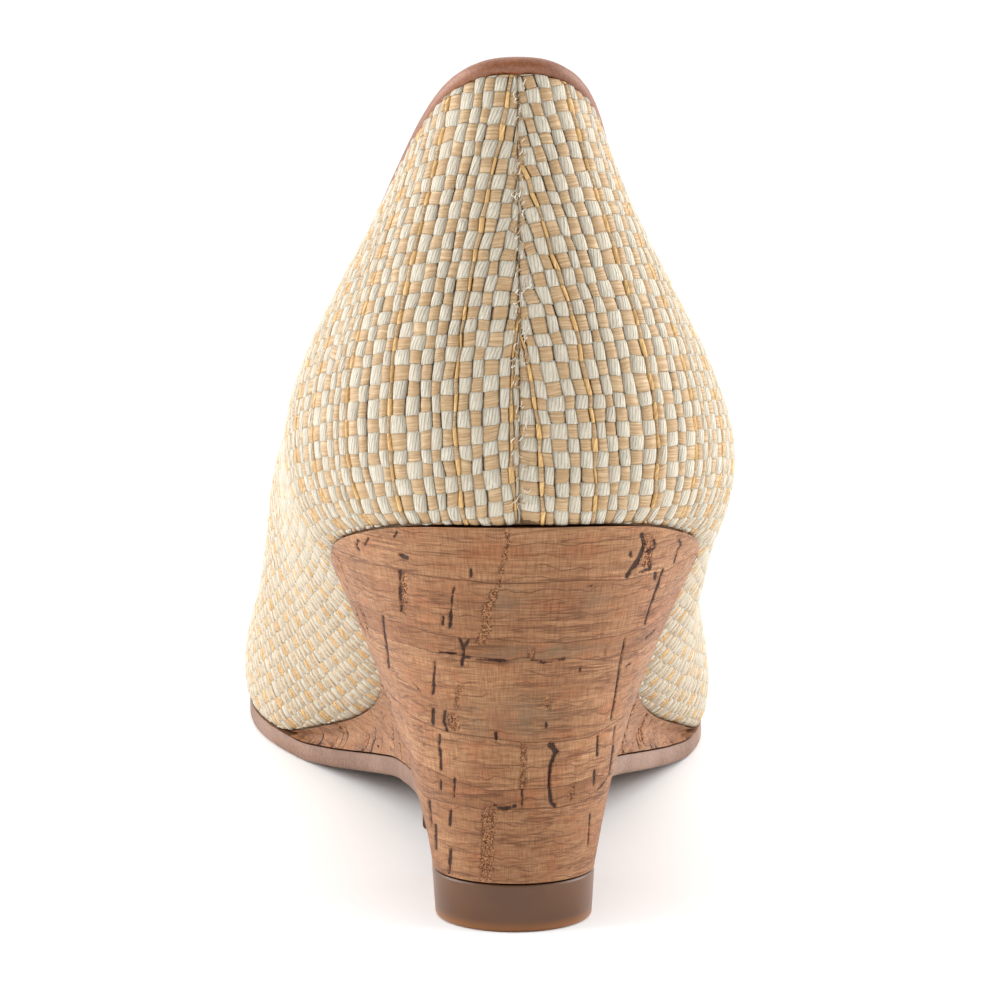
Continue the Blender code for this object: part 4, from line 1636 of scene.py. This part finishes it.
@dataclass
class CorkWedge:
    """The cork-covered wedge."""

    plan: SolePlan
    view: Viewpoint
    hollow: float = 3.0
    heel_places: int = 190
    arch_places: int = 90
    levels: int = 140
    back_reach: float = 24.0
    overlap: float = 2.0
    slack: float = 0.4
    crack_depth: float = 0.3
    crack_edge: tuple[float, float] = (-0.1, 0.3)
    rough_depth: float = 0.22
    rough_edge: tuple[float, float] = (-0.15, 0.4)
    # Depth of a point far from every mark
    unmarked: float = -1.0
    sharp: float = 60.0
    # Share of the height at each edge where the marks fade out
    rim: float = 0.02
    # Height, pace and start of the waves that the joints take along the sides
    waves: tuple[tuple[float, float, float], ...] = ((0.25, 0.31, 1.3), (0.12, 0.83, 0.0))
    top_joint: float = 60.0
    least_strip: float = 0.3
    side_marks: int = 75
    rough_every: int = 3
    rough_widening: float = 2.0
    side_length: tuple[float, float] = (0.5, 4.2)
    side_lean: float = 0.25
    side_width: tuple[float, float] = (0.25, 0.7)
    crumbs: int = 1500
    crumb_from: float = 0.12
    crumb_floor: float = 8.0
    crumb_sink: float = 0.6
    crumb_scatter: float = 0.08
    crumb_size: tuple[float, float] = (0.06, 0.13)
    crumb_depth: float = 0.8
    crumb_height: float = 1.3
    seed: int = 5
    finish: CorkFinish = CorkFinish()

    def build(self) -> None:
        """Loft the wall between the lift or sole and the feather edge, mark it and dress it."""
        low, high = self._edges()
        share = np.linspace(0.0, 1.0, self.levels)[:, None, None]
        grid = low + share * (high - low)
        grid[:, :, 0] -= self.hollow * np.sin(np.pi * share[:, :, 0]) * high[:, 0] / self.plan.last.ball_width
        out = np.cross(np.gradient(grid, axis=1), np.gradient(grid, axis=0))
        out /= np.linalg.norm(out, axis=2)[:, :, None]
        flat, out = grid.reshape(-1, 3), out.reshape(-1, 3)
        facing = (out * (self.view.place - flat)).sum(axis=1) > 0.0
        self._faced = flat[facing & (flat[:, 1] < self.back_reach)]
        self._picture = self.view.seen(self._faced)
        crack, rough = (self._depth(kind, flat) for kind in MarkKind)
        dent = self.crack_depth * smoothstep(*self.crack_edge, crack)
        dent += self.rough_depth * smoothstep(*self.rough_edge, rough)
        level = share.ravel()
        whole = smoothstep(0.0, self.rim, level) * smoothstep(1.0, 1.0 - self.rim, level)
        dent *= np.repeat(whole, len(low))
        points, faces = slab(list((flat - dent[:, None] * out).reshape(grid.shape)))
        materials = (self.finish.material(),)
        mesh = mesh_from("cork_wedge", self.plan.last.placed(points), faces, materials, self.sharp)
        middle = grid[self.levels // 2]
        walk = np.concatenate(((0.0,), np.cumsum(np.linalg.norm(np.diff(middle, axis=0), axis=1))))
        along = np.tile(walk - 0.5 * walk[-1], self.levels)
        store(mesh, "cork", np.column_stack((along, flat[:, 2], self._strip(flat))))
        store(mesh, "marks", np.column_stack((crack, rough, self._stain(flat))))
        add_piece("cork_wedge", mesh, "wedge")
        self._crumble(flat - self.crumb_sink * dent[:, None] * out, rough)

    def _edges(self) -> tuple[Array, Array]:
        """Lower and upper edge of the wall, from the medial tip round the back to the lateral tip.

        Returns:
            The two edges, with one point a row.
        """
        plan, last = self.plan, self.plan.last
        breast, after = last.section_at(plan.breast), last.section_at(plan.breast + last.gap)
        heel = np.linspace(TIP, breast, self.heel_places)
        arch = np.linspace(after, last.section_at(plan.wedge_front), self.arch_places)
        u = np.concatenate((heel, arch))
        sides = []
        for side in (Side.MEDIAL, Side.LATERAL):
            round_u = u if side is Side.LATERAL else last.round - u
            edge = last.outline(round_u)
            high = np.column_stack((edge, last.footbed(edge[:, 1]) - last.gap))
            base = plan.lift_back + edge[:, 1] * (plan.breast - plan.lift_back) / plan.breast
            on_lift = np.column_stack((side.value * plan.lift_half(base), base,
                                       np.full(len(u), plan.lift_height + last.gap)))
            on_sole = np.column_stack((plan.sole_edge(round_u)[:, 0], edge[:, 1],
                                       last.sole_bottom(edge[:, 1]) + last.sole_thickness + last.gap))
            low = np.where((np.arange(len(u)) < self.heel_places)[:, None], on_lift, on_sole)
            sides.append((low, high) if side is Side.LATERAL else (low[::-1], high[::-1]))
        return tuple(np.concatenate(pair) for pair in zip(*sides))

    def _met(self, trail: Sequence[Sequence[float]]) -> Array:
        """Real places, across and up, where a trail in the photo's pixels falls on the heel's back.

        Args:
            trail: The trail's places in the photo.

        Returns:
            One place a row, in millimetres.
        """
        trail = np.array(trail, float)
        nearest = [np.argmin(((self._picture - place) ** 2).sum(axis=1)) for place in trail]
        off = (trail - self._picture[nearest]) / self.view.scale
        return self._faced[nearest][:, ::2] + np.clip(off, -self.slack, self.slack) * (1.0, -1.0)

    def _depth(self, kind: MarkKind, points: Array) -> Array:
        """How deep each point lies in one kind of mark, seen at the back or strewn on the sides.

        Args:
            kind: The kind of mark.
            points: The wall's points.

        Returns:
            One depth for each point, less than 0 outside every mark.
        """
        depth = np.full(len(points), self.unmarked)
        back = points[:, 1] < self.back_reach
        for mark in (mark for group in SEEN_MARKS[kind].values() for mark in group):
            real = Mark(mark.width, self._met(mark.trail))
            depth[back] = np.maximum(depth[back], real.depth(points[back][:, ::2]))
        draw = np.random.default_rng(self.seed + list(MarkKind).index(kind))
        for side in Side:
            near = (side.value * points[:, 0] > 0.0) & (points[:, 1] > self.back_reach - self.overlap)
            places = points[near][:, 1:]
            count, wider = self.side_marks, 1.0
            if kind is MarkKind.ROUGH:
                count, wider = self.side_marks // self.rough_every, self.rough_widening
            for y, z in places[draw.integers(0, len(places), count)]:
                length, lean = draw.uniform(*self.side_length), draw.normal(0.0, self.side_lean)
                mark = Mark(draw.uniform(*self.side_width) * wider,
                            ((y, z), (y + lean, z - 0.5 * length), (y + 0.5 * lean, z - length)))
                depth[near] = np.maximum(depth[near], mark.depth(places))
        return depth

    def _strip(self, points: Array) -> Array:
        """Which strip each point lies in, from the ground up, and the share of the way through it.

        Args:
            points: The wall's points.

        Returns:
            The strip's number and the share, added up, for each point.
        """
        wave = sum(high * np.sin(pace * points[:, 1] + start) for high, pace, start in self.waves)
        joints = [self._met(trail) for trail in reversed(SEEN_JOINTS.values())]
        levels = [np.interp(points[:, 0], *joint.T) + wave for joint in joints]
        levels = [np.zeros(len(points)), *levels, np.full(len(points), self.top_joint)]
        strip = np.zeros(len(points))
        for low, high in zip(levels[:-1], levels[1:]):
            strip += np.clip((points[:, 2] - low) / np.maximum(high - low, self.least_strip), 0.0, 1.0)
        return strip

    def _stain(self, points: Array) -> Array:
        """How grey the cork is at each point.

        Args:
            points: The wall's points.

        Returns:
            A share for each point, 0 away from the heel's back.
        """
        stain = np.zeros(len(points))
        for x, z, wide, high, strength in STAINS:
            far = ((points[:, 0] - x) / wide) ** 2 + ((points[:, 2] - z) / high) ** 2
            stain = np.maximum(stain, strength * np.exp(-far))
        return np.where(points[:, 1] < self.back_reach, stain, 0.0)

    def _crumble(self, points: Array, rough: Array) -> None:
        """Strew loose crumbs over the rough streaks.

        Args:
            points: The wall's points, sunk part of the way into their dents.
            rough: How deep each lies in a rough streak.
        """
        draw = np.random.default_rng(self.seed)
        inside = np.flatnonzero((rough > self.crumb_from) & (points[:, 2] > self.crumb_floor))
        chosen = draw.choice(inside, self.crumbs)
        places = points[chosen] + draw.normal(0.0, self.crumb_scatter, (self.crumbs, 3))
        kept = {"size": draw.uniform(*self.crumb_size, self.crumbs) * MM}
        material = two_tone("cork_crumbs", (self.finish.line, self.finish.crumb), 2200.0, 0.15, 0.8)
        sizes = {"Depth": self.crumb_depth, "Height": self.crumb_height}
        strew("cork_crumbs", self.plan.last.placed(places), kept, self._crumb, sizes, material)

    def _crumb(self, graph: Graph, given: dict[str, Socket]) -> tuple[Socket, Socket, Sequence[object]]:
        """A lump, a turn at random and its proportions.

        Args:
            graph: The graph that it is added to.
            given: The graph's inputs by name.

        Returns:
            The lump, its turn and its proportions.
        """
        values = {"Max": (math.tau,) * 3, "Seed": self.seed}
        turn = graph.out("FunctionNodeRandomValue", values, data_type="FLOAT_VECTOR")
        lump = graph.out("GeometryNodeMeshIcoSphere", {"Radius": 1.0, "Subdivisions": 1})
        return lump, turn, (1.0, given["Depth"], given["Height"])


@dataclass
class HeelLift:
    """The rubber lift under the heel."""

    plan: SolePlan
    edge_round: float = 0.6
    taper: float = 0.3
    # Height and inset of the bevel at the top
    rim: tuple[float, float] = (0.25, 0.2)
    back_half: float = 0.02
    places: int = 60
    dark: Colour = rgb(88, 53, 25)
    light: Colour = rgb(100, 62, 32)
    amber: Colour = rgb(150, 92, 38)
    amber_height: float = 1.8
    amber_share: float = 0.8

    def build(self) -> None:
        """Stack the lift's outline from its worn edge to the cork."""
        plan = self.plan
        turn = np.linspace(0.0, 0.5 * math.pi, self.places)
        depth = plan.lift_back + plan.lift_round * (1.0 - np.cos(turn))
        rings = []
        steps = [(rise, self.taper + inset) for rise, inset in rounded(self.edge_round, 5)]
        steps += [(plan.lift_height - self.rim[0], 0.0), (plan.lift_height, self.rim[1])]
        for height, inset in steps:
            half = plan.lift_half(depth) * (1.0 - inset / plan.lift_half_width)
            half[0] = self.back_half
            back = depth + inset * np.cos(turn)
            lateral = np.column_stack((np.append(half, half[-1]), np.append(back, plan.breast - inset),
                                       np.full(self.places + 1, height)))
            rings.append(np.concatenate((lateral[::-1] * (-1.0, 1.0, 1.0), lateral)))
        points, faces = slab(rings)
        mesh = mesh_from("heel_rubber", plan.last.placed(points), faces, (self.material(),))
        add_piece("heel_rubber", mesh, "heel_lift")

    def material(self) -> Material:
        """Brown rubber, amber where light comes through the lower edge.

        Returns:
            The material.
        """
        material, graph, shader = new_material("heel_rubber")
        height = graph.parts(graph.place())[2]
        colour = graph.mix(wavering(graph, 90.0, 0.3, 0.7, 3.0), self.dark, self.light)
        lit = graph.ease(height, 0.0, self.amber_height * MM, self.amber_share, 0.0)
        graph.fill(shader, {"Base Color": graph.mix(lit, colour, self.amber), "Roughness": 0.34})
        return material


@dataclass
class Outsole:
    """The thin sole from the heel's breast to the toe."""

    plan: SolePlan
    edge_round: float = 0.7
    # Height and inset of the bevel at the top
    rim: tuple[float, float] = (0.2, 0.15)
    gaps_to_heel: float = 3.0
    places: int = 170

    def build(self) -> None:
        """Stack the sole's outline from its tread to its top."""
        plan, last = self.plan, self.plan.last
        u = last.ring(last.section_at(plan.breast + self.gaps_to_heel * last.gap), self.places)
        rings = []
        steps = rounded(self.edge_round, 4)
        steps += [(last.sole_thickness - self.rim[0], 0.0), (last.sole_thickness, self.rim[1])]
        for height, inset in steps:
            edge = plan.sole_edge(u, inset)
            rings.append(np.column_stack((edge, last.sole_bottom(edge[:, 1]) + height)))
        points, faces = slab(rings)
        finish = LeatherFinish("sole_resin", rgb(140, 100, 76), rgb(118, 82, 60), 900.0, 0.04, 0.5)
        mesh = mesh_from("sole_plate", last.placed(points), faces, (finish.material(),))
        add_piece("sole_plate", mesh, "outsole")


@dataclass
class Insole:
    """The leather footbed inside the shoe."""

    last: Last
    inset: float = 2.15
    thickness: float = 2.2
    edge_round: float = 0.5
    places: int = 200

    def build(self) -> None:
        """Stack the footbed's outline, its upper edge rounded off."""
        u = self.last.ring(TIP, self.places)
        steps = [(0.0, 0.0)]
        steps += [(self.thickness - inset, rise) for rise, inset in rounded(self.edge_round, 5)]
        rings = []
        for height, inset in steps:
            edge = self.last.outline(u, self.inset + inset)
            rings.append(np.column_stack((edge, self.last.footbed(edge[:, 1]) + height)))
        points, faces = slab(rings)
        finish = LeatherFinish("insole_leather", rgb(204, 164, 122), rgb(184, 144, 104), 1500.0, 0.03, 0.55)
        mesh = mesh_from("footbed", self.last.placed(points), faces, (finish.material(),))
        add_piece("footbed", mesh, "insole")


@dataclass
class Studio:
    """Pale floor, soft light from both sides, and the camera behind the heel."""

    last: Last
    view: Viewpoint
    floor_reach: float = 90.0
    # Least and most light from the room, from behind the camera to in front of it
    room: tuple[float, float] = (0.36, 1.08)
    room_turn: tuple[float, float] = (-0.9, 0.6)
    sky_power: float = 1.2
    sky_spread: float = 100.0
    sky_tilt: float = -12.0
    aim: tuple[float, float, float] = (0.0, -0.06, 0.05)
    # Place, width and height, and power of each soft light
    boxes: dict[str, tuple] = field(default_factory=lambda: {
        "left_box": ((-0.75, 0.0, 0.3), (0.9, 0.6), 6.5),
        "right_box": ((0.75, 0.0, 0.3), (0.9, 0.6), 6.2),
        "top_box": ((0.0, 0.1, 1.1), (1.2, 1.2), 2.0),
    })

    def build(self) -> None:
        """Set up floor, light and camera."""
        scene = bpy.context.scene
        scene.view_settings.view_transform = "Standard"
        self._floor()
        self._light()
        data = bpy.data.cameras.new("camera")
        data.lens = self.view.lens
        data.clip_start = 0.01
        camera = linked("camera", data)
        camera.location = self.last.placed(self.view.place[None, :])[0]
        camera.rotation_euler = (math.radians(90.0 - self.view.pitch), 0.0, -math.radians(self.view.yaw))
        scene.camera = camera

    def _floor(self) -> None:
        """A wide pale floor."""
        corners = np.array(((-1.0, -1.0, 0.0), (1.0, -1.0, 0.0), (1.0, 1.0, 0.0), (-1.0, 1.0, 0.0)))
        material, graph, shader = new_material("floor")
        colour = graph.mix(graph.noise(graph.place(), 3.0), rgb(248, 250, 251), rgb(250, 252, 253))
        graph.fill(shader, {"Base Color": colour, "Roughness": 0.9, "Specular IOR Level": 0.1})
        mesh = mesh_from("floor", self.floor_reach * corners, [(0, 1, 2, 3)], (material,))
        floor = linked("floor", mesh)

    def _light(self) -> None:
        """A white room with an open sky, a large soft light on each side and one above."""
        world = bpy.data.worlds.new("studio")
        world.use_nodes = True
        graph = Graph(world.node_tree)
        ahead = graph.parts(graph.add("ShaderNodeTexCoord").outputs["Generated"])[1]
        strength = graph.ease(ahead, *self.room_turn, *self.room)
        graph.fill(world.node_tree.nodes["Background"], {"Color": (1.0,) * 4, "Strength": strength})
        bpy.context.scene.world = world
        sky = bpy.data.lights.new("sky_box", "SUN")
        sky.energy = self.sky_power
        sky.angle = math.radians(self.sky_spread)
        linked("sky_box", sky).rotation_euler = (math.radians(self.sky_tilt), 0.0, 0.0)
        for name, (place, size, power) in self.boxes.items():
            data = bpy.data.lights.new(name, "AREA")
            data.shape = "RECTANGLE"
            data.size, data.size_y = size
            data.energy = power
            light = linked(name, data)
            light.location = place
            light.rotation_euler = (Vector(self.aim) - Vector(place)).to_track_quat("-Z", "Y").to_euler()


def main() -> None:
    """Set up the studio, then build the shoe in it piece by piece."""
    logging.basicConfig(level=logging.INFO, format="%(message)s")
    last = Last()
    plan = SolePlan(last)
    view = Viewpoint()
    Studio(last, view).build()
    WovenUpper(last, FlatPattern(last)).build()
    ToplineBinding(last).build()
    CorkWedge(plan, view).build()
    HeelLift(plan).build()
    Outsole(plan).build()
    Insole(last).build()
    bpy.context.view_layer.update()


if __name__ == "__main__":
    main()
